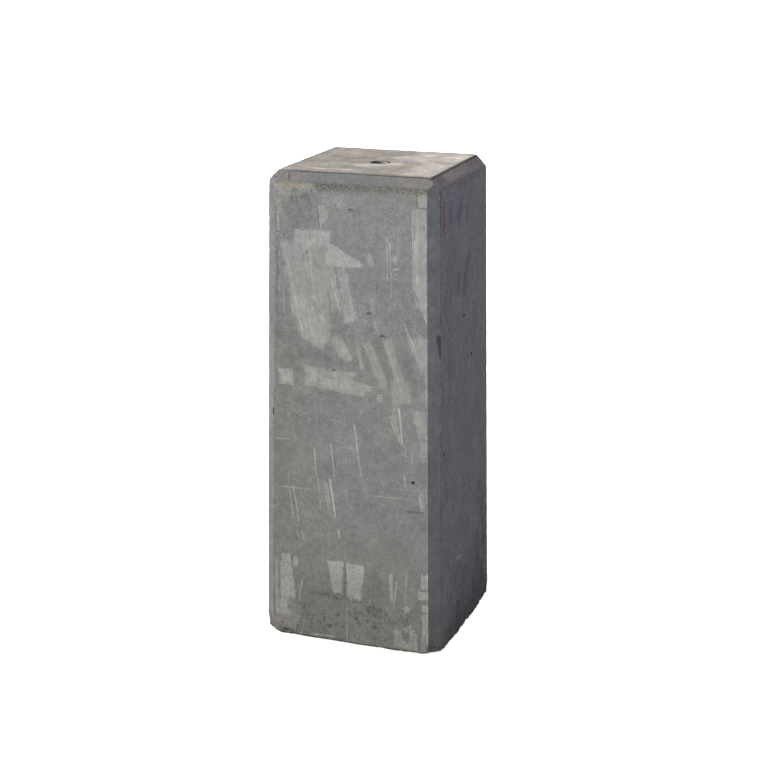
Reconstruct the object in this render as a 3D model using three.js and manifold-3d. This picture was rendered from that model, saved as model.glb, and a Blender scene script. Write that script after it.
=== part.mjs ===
// Precast concrete post base: a tapered square pier with bevelled arrises and rim, a threaded steel
// insert cast into its top, worn corners and a rough foot.
// Millimetres, +Z up, front face towards -Y, origin at the middle of the underside.

import * as THREE from 'three';
import Module from 'manifold-3d';

const wasm = await Module();
wasm.setup();

// Pier
const BLOCK_HEIGHT = 500;
const FOOT_WIDTH = 197; // across the flats at the ground
const TOP_WIDTH = 181; // across the flats at the top, before the rim's bevel
const ARRIS_BEVEL = 11; // leg of the bevel down each upright arris
const RIM_BEVEL = 10.6; // leg of the bevel round the top face

// Rough foot
const FOOT_CLEARANCE = 2.4; // how far the foot's edge stands above the flat of the underside
const FOOT_RUN_IN = 17; // how far in from the edge the underside comes down flat
const FOOT_BAND = 34; // height up to which the foot's unevenness reaches
const FOOT_SWELL = 1.6; // how far each side swells out at the ground
const FOOT_RAGGEDNESS = 0.8; // swing of the ragged line of the edge
const FOOT_SAG = { front: 0, right: 2.2, back: 1.1, left: 1.4 }; // dip of each side's edge

// Threaded insert
const BORE_DIAMETER = 13.8;
const BORE_DEPTH = 45;
const SLEEVE_WALL = 3.1;
const SLEEVE_FLOOR = 4;
const SLEEVE_SET_BACK = 1; // how far the rim lies below the top face
const MOUTH_BEVEL = 1.2;
const SLEEVE_GAP = 0.3; // between sleeve and concrete

// Shallow dish round the insert
const DISH_MARGIN = 13; // width of the dish outside the sleeve
const DISH_DEPTH = 1.4;

// Wear at the corners: side across, side front to back, height, reach and depth
const WORN_CORNERS = [
  { name: 'top left front', across: -1, along: -1, up: 1, reach: 27, depth: 2.2 },
  { name: 'top right front', across: 1, along: -1, up: 1, reach: 12, depth: 0.8 },
  { name: 'top right back', across: 1, along: 1, up: 1, reach: 18, depth: 1.6 },
  { name: 'top left back', across: -1, along: 1, up: 1, reach: 15, depth: 1.2 },
  { name: 'foot left front', across: -1, along: -1, up: 0, reach: 21, depth: 4.6 },
  { name: 'foot right front', across: 1, along: -1, up: 0, reach: 17, depth: 3 },
  { name: 'foot right back', across: 1, along: 1, up: 0, reach: 16, depth: 2.6 },
  { name: 'foot left back', across: -1, along: 1, up: 0, reach: 19, depth: 3.4 },
];

// Pits and slots in the faces: how far right of the face's middle, height, size and depth
const SIDES = ['front', 'right', 'back', 'left'];
const PITS = [
  { side: 'front', right: 68.8, height: 189.5, width: 3.4, tall: 3.4, depth: 2.4 },
  { side: 'front', right: 36.7, height: 341, width: 4.6, tall: 2.8, depth: 1.6 },
  { side: 'front', right: -16.4, height: 300, width: 4.4, tall: 2.8, depth: 1.6 },
  { side: 'front', right: -4.2, height: 4, width: 3.2, tall: 9, depth: 2 },
  { side: 'right', right: -3, height: 345, width: 5, tall: 4, depth: 2 },
  { side: 'right', right: 24.3, height: 297, width: 5, tall: 4, depth: 2 },
  { side: 'right', right: -74.7, height: 216, width: 5, tall: 3, depth: 1.6 },
  { side: 'back', right: 31, height: 388, width: 5, tall: 4, depth: 2 },
  { side: 'back', right: -52, height: 146, width: 4, tall: 5, depth: 2 },
  { side: 'left', right: 12, height: 262, width: 5, tall: 4, depth: 2 },
];
// Slots worn into the upright bevels: the bevel to the right of the named side, and how far over
// from its middle towards its right edge, as a share of the way there
const SLOTS = [
  { side: 'front', height: 341, width: 3, tall: 38, depth: 1.5, over: 0.72 },
  { side: 'left', height: 249, width: 2.6, tall: 10, depth: 1.4, over: 0.4 },
];

// Fineness of the faceted surfaces
const FLAT_STEPS = 22;
const BEVEL_STEPS = 2;
const SLEEVE_SIDES = 40;
const PIT_DETAIL = 1;
const WELD_STEPS = 10000; // to the millimetre: points within one step are the same point

const SLEEVE_RADIUS = BORE_DIAMETER / 2 + SLEEVE_WALL;
const SLEEVE_LENGTH = BORE_DEPTH + SLEEVE_FLOOR;
const SLEEVE_TOP = BLOCK_HEIGHT - SLEEVE_SET_BACK;
const RIM_START = BLOCK_HEIGHT - RIM_BEVEL;
const TAPER = (FOOT_WIDTH - TOP_WIDTH) / 2 / BLOCK_HEIGHT;
const halfWidthAt = (z) => FOOT_WIDTH / 2 - TAPER * z;

// Ragged line: three waves, each with its length, its share of the swing and its direction
const WAVES = [
  { length: 37, share: 0.5, turn: 0.6 },
  { length: 17, share: 0.3, turn: 2.1 },
  { length: 9, share: 0.2, turn: 4.2 },
];

function ragged(x, y) {
  let sum = 0;
  for (const { length, share, turn } of WAVES) {
    const along = x * Math.cos(turn) + y * Math.sin(turn);
    sum += share * Math.sin((2 * Math.PI * along) / length + turn);
  }
  return sum;
}

// Share of the way along a side, 0 to 1, running to the right as that side is looked at
function alongSide(side, x, y) {
  const half = FOOT_WIDTH / 2;
  const run = { front: x, right: y, back: -x, left: -y }[side];
  return THREE.MathUtils.clamp((run / half + 1) / 2, 0, 1);
}

// The side of the pier that a point is nearest to
function sideOf(x, y) {
  if (Math.abs(x) > Math.abs(y)) return x > 0 ? 'right' : 'left';
  return y > 0 ? 'back' : 'front';
}

// A hump along a side, fullest past its middle
const HUMP_LEAN = 1.5;
const hump = (share) => Math.sin(Math.PI * share ** HUMP_LEAN);

function roughenFoot(point) {
  const { x, y, z } = point;
  if (z >= FOOT_BAND) return point;
  const side = sideOf(x, y);
  const acrossSide = side === 'right' || side === 'left';
  const inset = halfWidthAt(z) - Math.abs(acrossSide ? x : y);
  const slope = THREE.MathUtils.clamp(1 - inset / FOOT_RUN_IN, 0, 1);
  const fade = 1 - z / FOOT_BAND;
  const full = hump(alongSide(side, x, y));
  const lift = FOOT_CLEARANCE - FOOT_SAG[side] * full + FOOT_RAGGEDNESS * ragged(x, y) * slope;
  const out = FOOT_SWELL * full * fade ** 2 * slope;
  const moved = point.clone();
  moved.z += Math.max(0, lift) * slope * fade;
  if (acrossSide) moved.x += Math.sign(x) * out;
  else moved.y += Math.sign(y) * out;
  return moved;
}

// Rub a corner away towards the middle of the pier
function wearCorners(point) {
  const moved = point.clone();
  for (const { across, along, up, reach, depth } of WORN_CORNERS) {
    const level = up * BLOCK_HEIGHT;
    const half = halfWidthAt(level);
    const corner = new THREE.Vector3(across * half, along * half, level);
    const share = 1 - point.distanceTo(corner) / reach;
    if (share <= 0) continue;
    const inwards = new THREE.Vector3(-across, -along, up ? -1 : 1).normalize();
    const bite = 1 + 0.35 * ragged(point.x * 2, point.y * 2 + point.z);
    moved.addScaledVector(inwards, depth * bite * share * (2 - share));
  }
  return moved;
}

// Section of the pier: a square with its corners cut off, counter-clockwise from the front left
function section(half, bevel) {
  const flat = half - bevel;
  const points = [];
  for (let side = 0; side < SIDES.length; side++) {
    const turn = (side * Math.PI) / 2;
    const cos = Math.round(Math.cos(turn));
    const sin = Math.round(Math.sin(turn));
    const place = (u, v) => points.push([u * cos - v * sin, u * sin + v * cos]);
    for (let i = 0; i < FLAT_STEPS; i++) {
      const share = i / FLAT_STEPS;
      const eased = share - Math.sin(2 * Math.PI * share) / 14;
      place(flat * (2 * eased - 1), -half);
    }
    for (let i = 0; i < BEVEL_STEPS; i++) {
      const share = i / BEVEL_STEPS;
      place(flat + bevel * share, -half + bevel * share);
    }
  }
  return points;
}

// Levels of the pier's rings: close together where the foot and the rim are shaped
function levels() {
  const foot = [0, 0.09, 0.22, 0.42, 0.68, 1].map((share) => share * FOOT_BAND);
  const under = [28, 15, 6, 0].map((drop) => RIM_START - drop);
  const rim = [ARRIS_BEVEL / 2, RIM_BEVEL].map((rise) => RIM_START + rise);
  const shaft = [0.35, 0.65].map((share) => THREE.MathUtils.lerp(FOOT_BAND, under[0], share));
  return [...foot, ...shaft, ...under, ...rim];
}

// The pier as one closed surface: rings joined by quads, with the underside and top closed
function pierShell() {
  const rings = levels().map((z) => {
    const cut = Math.max(0, z - RIM_START);
    const bevel = Math.max(0, ARRIS_BEVEL - 2 * cut);
    return section(halfWidthAt(z) - cut, bevel).map(([x, y]) => new THREE.Vector3(x, y, z));
  });
  const underside = [0.5, 1, 2.4].map((share) => {
    const half = halfWidthAt(0) - FOOT_RUN_IN * share;
    return section(half, ARRIS_BEVEL).map(([x, y]) => new THREE.Vector3(x, y, 0));
  });
  rings.unshift(...underside.reverse());

  const count = rings[0].length;
  const ends = [new THREE.Vector3(0, 0, 0), new THREE.Vector3(0, 0, BLOCK_HEIGHT)];
  const points = [...rings.flat(), ...ends].map((point) => wearCorners(roughenFoot(point)));
  const positions = points.flatMap((point) => [point.x, point.y, Math.max(0, point.z)]);
  const [bottomMiddle, topMiddle] = [points.length - 2, points.length - 1];
  const highest = (rings.length - 1) * count;
  const indices = [];
  for (let i = 0; i < count; i++) {
    const next = (i + 1) % count;
    indices.push(bottomMiddle, next, i, topMiddle, highest + i, highest + next);
    for (let low = 0; low < highest; low += count) {
      indices.push(low + i, low + next, low + count + next);
      indices.push(low + i, low + count + next, low + count + i);
    }
  }
  const geometry = new THREE.BufferGeometry();
  geometry.setAttribute('position', new THREE.Float32BufferAttribute(positions, 3));
  geometry.setIndex(indices);
  return geometry;
}

// Join the vertices of a geometry that lie in one place and drop the triangles that vanish
function welded(geometry) {
  const source = geometry.getAttribute('position');
  const order = geometry.index ? [...geometry.index.array] : [...Array(source.count).keys()];
  const positions = [];
  const indexOf = new Map();
  const number = (i) => {
    const point = [source.getX(i), source.getY(i), source.getZ(i)];
    const key = point.map((value) => Math.round(value * WELD_STEPS)).join();
    if (!indexOf.has(key)) {
      indexOf.set(key, positions.length / 3);
      positions.push(...point);
    }
    return indexOf.get(key);
  };
  const indices = [];
  for (let i = 0; i < order.length; i += 3) {
    const [a, b, c] = order.slice(i, i + 3).map(number);
    if (a !== b && b !== c && c !== a) indices.push(a, b, c);
  }
  return { positions, indices };
}

function toSolid(geometry) {
  const { positions, indices } = welded(geometry);
  const mesh = new wasm.Mesh({
    numProp: 3,
    vertProperties: new Float32Array(positions),
    triVerts: new Uint32Array(indices),
  });
  return new wasm.Manifold(mesh);
}

function toGeometry(solid) {
  const mesh = solid.getMesh();
  const geometry = new THREE.BufferGeometry();
  geometry.setAttribute('position', new THREE.BufferAttribute(mesh.vertProperties, 3));
  geometry.setIndex(new THREE.BufferAttribute(mesh.triVerts, 1));
  geometry.computeVertexNormals();
  return geometry;
}

// A turned piece about the Z axis, from radius and height pairs listed bottom to top
function turned(profile) {
  const points = profile.map(([radius, z]) => new THREE.Vector2(radius, z));
  return new THREE.LatheGeometry(points, SLEEVE_SIDES).rotateX(Math.PI / 2);
}

// The hollow that takes the insert, with the shallow dish at its mouth
function insertHollow() {
  const above = 5;
  const pocketRadius = SLEEVE_RADIUS + SLEEVE_GAP;
  const pocketFloor = SLEEVE_TOP - SLEEVE_LENGTH - SLEEVE_GAP;
  const dishFloor = BLOCK_HEIGHT - DISH_DEPTH;
  const dishRadius = SLEEVE_RADIUS + DISH_MARGIN;
  return turned([
    [0, pocketFloor],
    [pocketRadius, pocketFloor],
    [pocketRadius, dishFloor],
    [THREE.MathUtils.lerp(pocketRadius, dishRadius, 0.55), dishFloor + DISH_DEPTH * 0.3],
    [dishRadius, BLOCK_HEIGHT],
    [dishRadius, BLOCK_HEIGHT + above],
    [0, BLOCK_HEIGHT + above],
  ]);
}

// A blunt bead that presses a pit or a slot into a face: its middle lies in the face
function bead({ side, width, tall, depth, height }, right, out, swing) {
  const geometry = new THREE.IcosahedronGeometry(1, PIT_DETAIL);
  geometry.scale(width / 2, depth, tall / 2);
  geometry.rotateZ(swing);
  geometry.translate(right, -out, height);
  return geometry.rotateZ((SIDES.indexOf(side) * Math.PI) / 2);
}

function pitBead(pit) {
  return bead(pit, pit.right, halfWidthAt(pit.height), 0);
}

function slotBead(slot) {
  const middle = halfWidthAt(slot.height) - ARRIS_BEVEL / 2;
  const over = (slot.over * ARRIS_BEVEL) / 2;
  return bead(slot, middle + over, middle - over, Math.PI / 4);
}

function concreteBlock() {
  const hollows = [insertHollow(), ...PITS.map(pitBead), ...SLOTS.map(slotBead)];
  const solid = hollows.reduce((body, hollow) => body.subtract(toSolid(hollow)), toSolid(pierShell()));
  return toGeometry(solid);
}

function threadedInsert() {
  const floor = SLEEVE_TOP - SLEEVE_LENGTH;
  const boreRadius = BORE_DIAMETER / 2;
  return turned([
    [0, floor],
    [SLEEVE_RADIUS, floor],
    [SLEEVE_RADIUS, SLEEVE_TOP],
    [boreRadius + MOUTH_BEVEL, SLEEVE_TOP],
    [boreRadius, SLEEVE_TOP - MOUTH_BEVEL],
    [boreRadius, floor + SLEEVE_FLOOR],
    [0, floor + SLEEVE_FLOOR],
  ]);
}

const concrete = new THREE.MeshStandardMaterial({ color: 0x7f807c, roughness: 0.85, metalness: 0 });
const steel = new THREE.MeshStandardMaterial({ color: 0x9b9c98, roughness: 0.4, metalness: 1 });

const block = new THREE.Mesh(concreteBlock(), concrete);
block.name = 'concrete_block';
const insert = new THREE.Mesh(threadedInsert(), steel);
insert.name = 'threaded_insert';

const part = new THREE.Group();
part.add(block, insert);
export default part;
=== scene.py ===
"""Looks of a precast concrete post base: a tapered pier with a threaded steel insert in its top.

The classes hold their sizes in millimetres, in the part's own frame: +X right, +Y back, +Z up,
front face towards -Y, origin at the middle of the underside. MM turns them into metres.
"""

import sys
import logging
import math
from collections.abc import Callable
from dataclasses import dataclass, field
from enum import Enum

import bpy
from mathutils import Matrix, Vector, noise


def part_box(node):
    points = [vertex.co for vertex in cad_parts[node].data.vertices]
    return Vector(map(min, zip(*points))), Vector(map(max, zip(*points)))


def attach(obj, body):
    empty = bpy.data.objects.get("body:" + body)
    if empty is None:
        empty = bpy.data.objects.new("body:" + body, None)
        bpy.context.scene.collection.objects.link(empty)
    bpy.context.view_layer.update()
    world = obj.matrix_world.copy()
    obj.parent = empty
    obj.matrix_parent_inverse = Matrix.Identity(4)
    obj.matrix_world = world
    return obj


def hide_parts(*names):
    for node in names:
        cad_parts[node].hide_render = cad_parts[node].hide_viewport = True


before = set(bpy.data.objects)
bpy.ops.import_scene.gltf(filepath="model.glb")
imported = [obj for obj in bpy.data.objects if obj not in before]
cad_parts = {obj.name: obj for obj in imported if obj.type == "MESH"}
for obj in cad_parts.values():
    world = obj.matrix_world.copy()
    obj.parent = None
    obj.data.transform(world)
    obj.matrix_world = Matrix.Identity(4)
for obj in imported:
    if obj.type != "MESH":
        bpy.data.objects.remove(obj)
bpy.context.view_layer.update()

log = logging.getLogger("post_base")

MM = 0.001
BODY = "root"
BLOCK_NODE = "concrete_block"
INSERT_NODE = "threaded_insert"
# The back arrises lie this far off on their plane, in millimetres, clear of the front ones' marks
BACK_ARRIS_SHIFT = 400.0

Colour = tuple[float, float, float]
Place = tuple[float, float]
Socket = bpy.types.NodeSocket
Feed = float | tuple | Socket | None


class Side(Enum):
    """The four upright sides, each with the quarter turns from the front one."""

    FRONT = 0
    RIGHT = 1
    BACK = 2
    LEFT = 3


class Zone(Enum):
    """The zones of the concrete, each with its own finish: the value is its material slot."""

    FRONT = 0
    RIGHT = 1
    BACK = 2
    LEFT = 3
    ARRIS = 4
    RIM = 5
    TOP = 6
    UNDERSIDE = 7
    # The inside of deep pits, slots and the insert's pocket, coloured near black as painted shade
    BROKEN = 8


# Modelling


class Workpiece:
    """A mesh object on the bench, shaped with operators as by hand."""

    def __init__(self, name: str) -> None:
        """Take up the primitive that was just added.

        Args:
            name: The piece's name.
        """
        self.object = bpy.context.object
        self.object.name = name
        self.object.data.name = name
        bpy.ops.object.transform_apply(location=True, rotation=True, scale=True)

    @staticmethod
    def clear_bench() -> None:
        """Deselect everything, the CAD nodes included."""
        bpy.ops.object.select_all(action="DESELECT")

    @classmethod
    def block(cls, name: str, size: tuple[float, float, float]) -> "Workpiece":
        """Start from a box that stands on the ground.

        Args:
            name: The piece's name.
            size: Width, depth and height in millimetres.

        Returns:
            The piece.
        """
        cls.clear_bench()
        bpy.ops.mesh.primitive_cube_add(size=1, location=(0, 0, size[2] / 2 * MM))
        bpy.context.object.scale = Vector(size) * MM
        return cls(name)

    @classmethod
    def turned(cls, name: str, profile: list[tuple[float, float]], sides: int) -> "Workpiece":
        """Turn a closed solid about Z: a disc is drawn up step by step and widened or narrowed.

        Args:
            name: The piece's name.
            profile: Radius and height of each ring from the start to the end disc.
            sides: Number of sides of the rings.

        Returns:
            The piece, closed by a disc at each end.
        """
        cls.clear_bench()
        radius, level = profile[0]
        bpy.ops.mesh.primitive_circle_add(
            vertices=sides, radius=radius * MM, fill_type="NGON", location=(0, 0, level * MM)
        )
        piece = cls(name)
        piece.enter("FACE", lambda face: True)
        for next_radius, next_level in profile[1:]:
            bpy.ops.mesh.extrude_region_move(
                TRANSFORM_OT_translate={"value": (0, 0, (next_level - level) * MM)}
            )
            share = next_radius / radius
            bpy.ops.transform.resize(value=(share, share, 1), center_override=(0, 0, next_level * MM))
            radius, level = next_radius, next_level
        bpy.ops.mesh.select_all(action="SELECT")
        bpy.ops.mesh.normals_make_consistent(inside=False)
        piece.leave()
        return piece

    def activate(self) -> None:
        """Make this the only selected object and the active one."""
        self.clear_bench()
        self.object.select_set(True)
        bpy.context.view_layer.objects.active = self.object

    def enter(self, kind: str, test: Callable[..., bool]) -> None:
        """Go to edit mode with only those elements selected that pass a test.

        Args:
            kind: FACE or EDGE.
            test: Takes a face's normal and centre as its polygon, or an edge's two ends.
        """
        self.activate()
        bpy.ops.object.mode_set(mode="EDIT")
        bpy.ops.mesh.select_mode(type=kind)
        bpy.ops.mesh.select_all(action="DESELECT")
        bpy.ops.object.mode_set(mode="OBJECT")
        mesh = self.object.data
        if kind == "FACE":
            for face in mesh.polygons:
                face.select = test(face)
        else:
            points = mesh.vertices
            for edge in mesh.edges:
                start, end = edge.vertices
                edge.select = test(points[start].co, points[end].co)
        bpy.ops.object.mode_set(mode="EDIT")

    def leave(self) -> None:
        """Go back to object mode."""
        bpy.ops.object.mode_set(mode="OBJECT")

    def cut_along(self, point: Vector, normal: Vector, keep_both: bool) -> None:
        """Cut the whole piece by a plane.

        Args:
            point: A point of the plane in millimetres.
            normal: The plane's normal, out of the side that goes away.
            keep_both: Keep both sides and only leave a line of edges.
        """
        bpy.ops.mesh.select_all(action="SELECT")
        bpy.ops.mesh.bisect(
            plane_co=point * MM,
            plane_no=normal.normalized(),
            use_fill=not keep_both,
            clear_outer=not keep_both,
        )

    def modify(self, kind: str, **settings: object) -> None:
        """Add a modifier with the given settings and apply it.

        Args:
            kind: The modifier's type.
            settings: Its properties.
        """
        self.activate()
        modifier = self.object.modifiers.new(name=kind.lower(), type=kind)
        for name, value in settings.items():
            setattr(modifier, name, value)
        bpy.ops.object.modifier_apply(modifier=modifier.name)

    def dress(self, materials: dict["Zone", bpy.types.Material]) -> None:
        """Give the piece a material slot for each zone, in the zones' order."""
        for zone in Zone:
            self.object.data.materials.append(materials[zone])

    def copy(self) -> "Workpiece":
        """Make a copy with its own mesh.

        Returns:
            The copy.
        """
        self.activate()
        bpy.ops.object.duplicate()
        return Workpiece(self.object.name)

    def join(self, others: list["Workpiece"]) -> None:
        """Join other pieces into this one.

        Args:
            others: The pieces, which are used up.
        """
        self.activate()
        for other in others:
            other.object.select_set(True)
        bpy.ops.object.join()

    def scrap(self) -> None:
        """Delete the piece."""
        self.activate()
        bpy.ops.object.delete()


@dataclass(frozen=True)
class Wave:
    """One wave of a ragged line: its length in millimetres, its share of the swing, its turn."""

    length: float
    share: float
    turn: float

    def at(self, x: float, y: float) -> float:
        """Height of the wave at a place."""
        along = x * math.cos(self.turn) + y * math.sin(self.turn)
        return self.share * math.sin(2 * math.pi * along / self.length + self.turn)


@dataclass(frozen=True)
class WornCorner:
    """A corner rubbed away: its side across, along and up, its reach and its depth."""

    across: int
    along: int
    up: int
    reach: float
    depth: float


@dataclass(frozen=True)
class Pit:
    """A pit in a side: its place right of the side's middle, its height, size and depth.

    One shaded inside is coloured near black in its hollow, as painted shade; the others keep the face's own
    finish.
    """

    side: Side
    right: float
    height: float
    width: float
    tall: float
    depth: float
    shaded_inside: bool = True


@dataclass(frozen=True)
class Slot:
    """A slot worn into the bevel right of a side, off its middle by a share of the way over."""

    side: Side
    height: float
    width: float
    tall: float
    depth: float
    over: float


def smooth_share(value: float, start: float, end: float) -> float:
    """Share of the way from start to end, 0 to 1, eased at both ends."""
    share = min(1.0, max(0.0, (value - start) / (end - start)))
    return share * share * (3 - 2 * share)


@dataclass
class PierForm:
    """Form of the cast pier in millimetres, the same as the solid's, with finer wear on it."""

    height: float
    foot_width: float = 197.0
    top_width: float = 181.0
    arris_bevel: float = 11.0
    rim_bevel: float = 10.6
    foot_clearance: float = 2.4
    foot_run_in: float = 17.0
    foot_band: float = 34.0
    foot_swell: float = 1.58
    foot_raggedness: float = 0.4
    side_raggedness: float = 2.0
    hump_lean: float = 1.5
    foot_sag: dict[Side, float] = field(
        default_factory=lambda: {Side.FRONT: 0.0, Side.RIGHT: 2.2, Side.BACK: 1.1, Side.LEFT: 1.4}
    )
    waves: tuple[Wave, ...] = (Wave(37, 0.5, 0.6), Wave(17, 0.3, 2.1), Wave(9, 0.2, 4.2))
    corners: tuple[WornCorner, ...] = (
        WornCorner(-1, -1, 1, 24, 1.0),
        WornCorner(1, -1, 1, 12, 0.8),
        WornCorner(1, 1, 1, 18, 2.4),
        WornCorner(-1, 1, 1, 15, 1.2),
        WornCorner(-1, -1, 0, 20, 3.6),
        WornCorner(1, -1, 0, 19, 2.3),
        WornCorner(1, 1, 0, 16, 2.6),
        WornCorner(-1, 1, 0, 19, 3.4),
    )
    corner_bite: float = 0.35
    crumble_size: float = 5.5
    chip_depth: float = 0.3
    foot_chip_depth: float = 0.8
    chipped_below: float = 60.0
    chip_size: float = 5.0
    chip_reach: float = 2.6
    dent_depth: float = 0.22
    dent_size: float = 23.0

    @property
    def rim_start(self) -> float:
        """Height at which the rim's bevel starts."""
        return self.height - self.rim_bevel

    @property
    def taper(self) -> float:
        """How much a side leans in for each millimetre of height."""
        return (self.foot_width - self.top_width) / 2 / self.height

    def half_width(self, level: float) -> float:
        """Half the width across the flats at a height."""
        return self.foot_width / 2 - self.taper * level

    def ragged(self, x: float, y: float) -> float:
        """Ragged line at a place, about -1 to 1."""
        return sum(wave.at(x, y) for wave in self.waves)

    @staticmethod
    def side_of(x: float, y: float) -> Side:
        """The side that a place is nearest to."""
        if abs(x) > abs(y):
            return Side.RIGHT if x > 0 else Side.LEFT
        return Side.BACK if y > 0 else Side.FRONT

    def hump(self, side: Side, x: float, y: float) -> float:
        """A hump along a side, fullest past its middle, 0 at both ends."""
        run = {Side.FRONT: x, Side.RIGHT: y, Side.BACK: -x, Side.LEFT: -y}[side]
        share = min(1.0, max(0.0, (run / (self.foot_width / 2) + 1) / 2))
        return math.sin(math.pi * share**self.hump_lean)

    def foot_shift(self, point: Vector) -> Vector:
        """How the rough foot moves a point of the plain form.

        Args:
            point: The point in millimetres.

        Returns:
            The shift in millimetres.
        """
        x, y, z = point
        if z >= self.foot_band:
            return Vector()
        side = self.side_of(x, y)
        across_side = side in (Side.RIGHT, Side.LEFT)
        inset = self.half_width(z) - abs(x if across_side else y)
        slope = min(1.0, max(0.0, 1 - inset / self.foot_run_in))
        fade = 1 - z / self.foot_band
        full = self.hump(side, x, y)
        raggedness = self.foot_raggedness + (0.0 if side is Side.FRONT else self.side_raggedness * full)
        rough = raggedness * (self.ragged(x, y) + noise.noise(point / self.crumble_size))
        lift = self.foot_clearance - self.foot_sag[side] * full + rough * slope
        out = self.foot_swell * full * fade**2 * slope
        shift = Vector((0, 0, max(0.0, lift) * slope * fade))
        if across_side:
            shift.x = math.copysign(out, x)
        else:
            shift.y = math.copysign(out, y)
        return shift

    def corner_shift(self, point: Vector) -> Vector:
        """How the worn corners move a point towards the middle of the pier."""
        shift = Vector()
        for corner in self.corners:
            level = corner.up * self.height
            half = self.half_width(level)
            tip = Vector((corner.across * half, corner.along * half, level))
            share = 1 - (point - tip).length / corner.reach
            if share <= 0:
                continue
            inwards = Vector((-corner.across, -corner.along, -1 if corner.up else 1)).normalized()
            bite = 1 + self.corner_bite * self.ragged(point.x * 2, point.y * 2 + point.z)
            shift += inwards * corner.depth * bite * share * (2 - share)
        return shift

    def edge_distance(self, point: Vector) -> float:
        """Distance from a point of the plain form to its nearest bevelled edge."""
        half = self.half_width(point.z)
        inset_x, inset_y = half - abs(point.x), half - abs(point.y)
        upright = max(min(inset_x, inset_y), abs(max(inset_x, inset_y) - self.arris_bevel))
        below_rim = abs(point.z - self.rim_start)
        at_top = math.hypot(self.height - point.z, min(inset_x, inset_y) - self.rim_bevel)
        return min(upright, below_rim, at_top)

    def wear_shift(self, point: Vector) -> Vector:
        """Small chips along the edges and faint dents in the faces, always inwards."""
        near = max(0.0, 1 - self.edge_distance(point) / self.chip_reach)
        chips = noise.noise(point / self.chip_size) + 0.5 * noise.noise(point / self.chip_size * 2.7)
        low = 1 - min(1.0, point.z / self.chipped_below)
        depth = (self.chip_depth + self.foot_chip_depth * low) * near * smooth_share(chips, 0.05, 0.75)
        depth += self.dent_depth * smooth_share(noise.noise(point / self.dent_size), 0.0, 0.7)
        half = self.half_width(point.z)
        inwards = Vector()
        if half - abs(point.x) < self.rim_bevel + self.chip_reach:
            inwards.x = -math.copysign(1, point.x)
        if half - abs(point.y) < self.rim_bevel + self.chip_reach:
            inwards.y = -math.copysign(1, point.y)
        if point.z > self.rim_start + self.rim_bevel / 3:
            inwards.z = -1
        return inwards.normalized() * depth if inwards.length > 0 and point.z > 0 else Vector()

    def shift(self, point: Vector) -> Vector:
        """How wear and casting move a point of the plain form, in millimetres."""
        moved = point + self.foot_shift(point)
        moved += self.corner_shift(moved) + self.wear_shift(point)
        moved.z = max(0.0, moved.z)
        return moved - point

    def zone(self, centre: Vector, normal: Vector) -> Zone:
        """The zone of a face of the plain form, by the way it faces."""
        if abs(normal.z) > 0.9:
            return Zone.TOP if normal.z > 0 else Zone.UNDERSIDE
        if normal.z > 0.4:
            return Zone.RIM
        if min(abs(normal.x), abs(normal.y)) > 0.4:
            return Zone.ARRIS
        return Zone[self.side_of(centre.x, centre.y).name]


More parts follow.
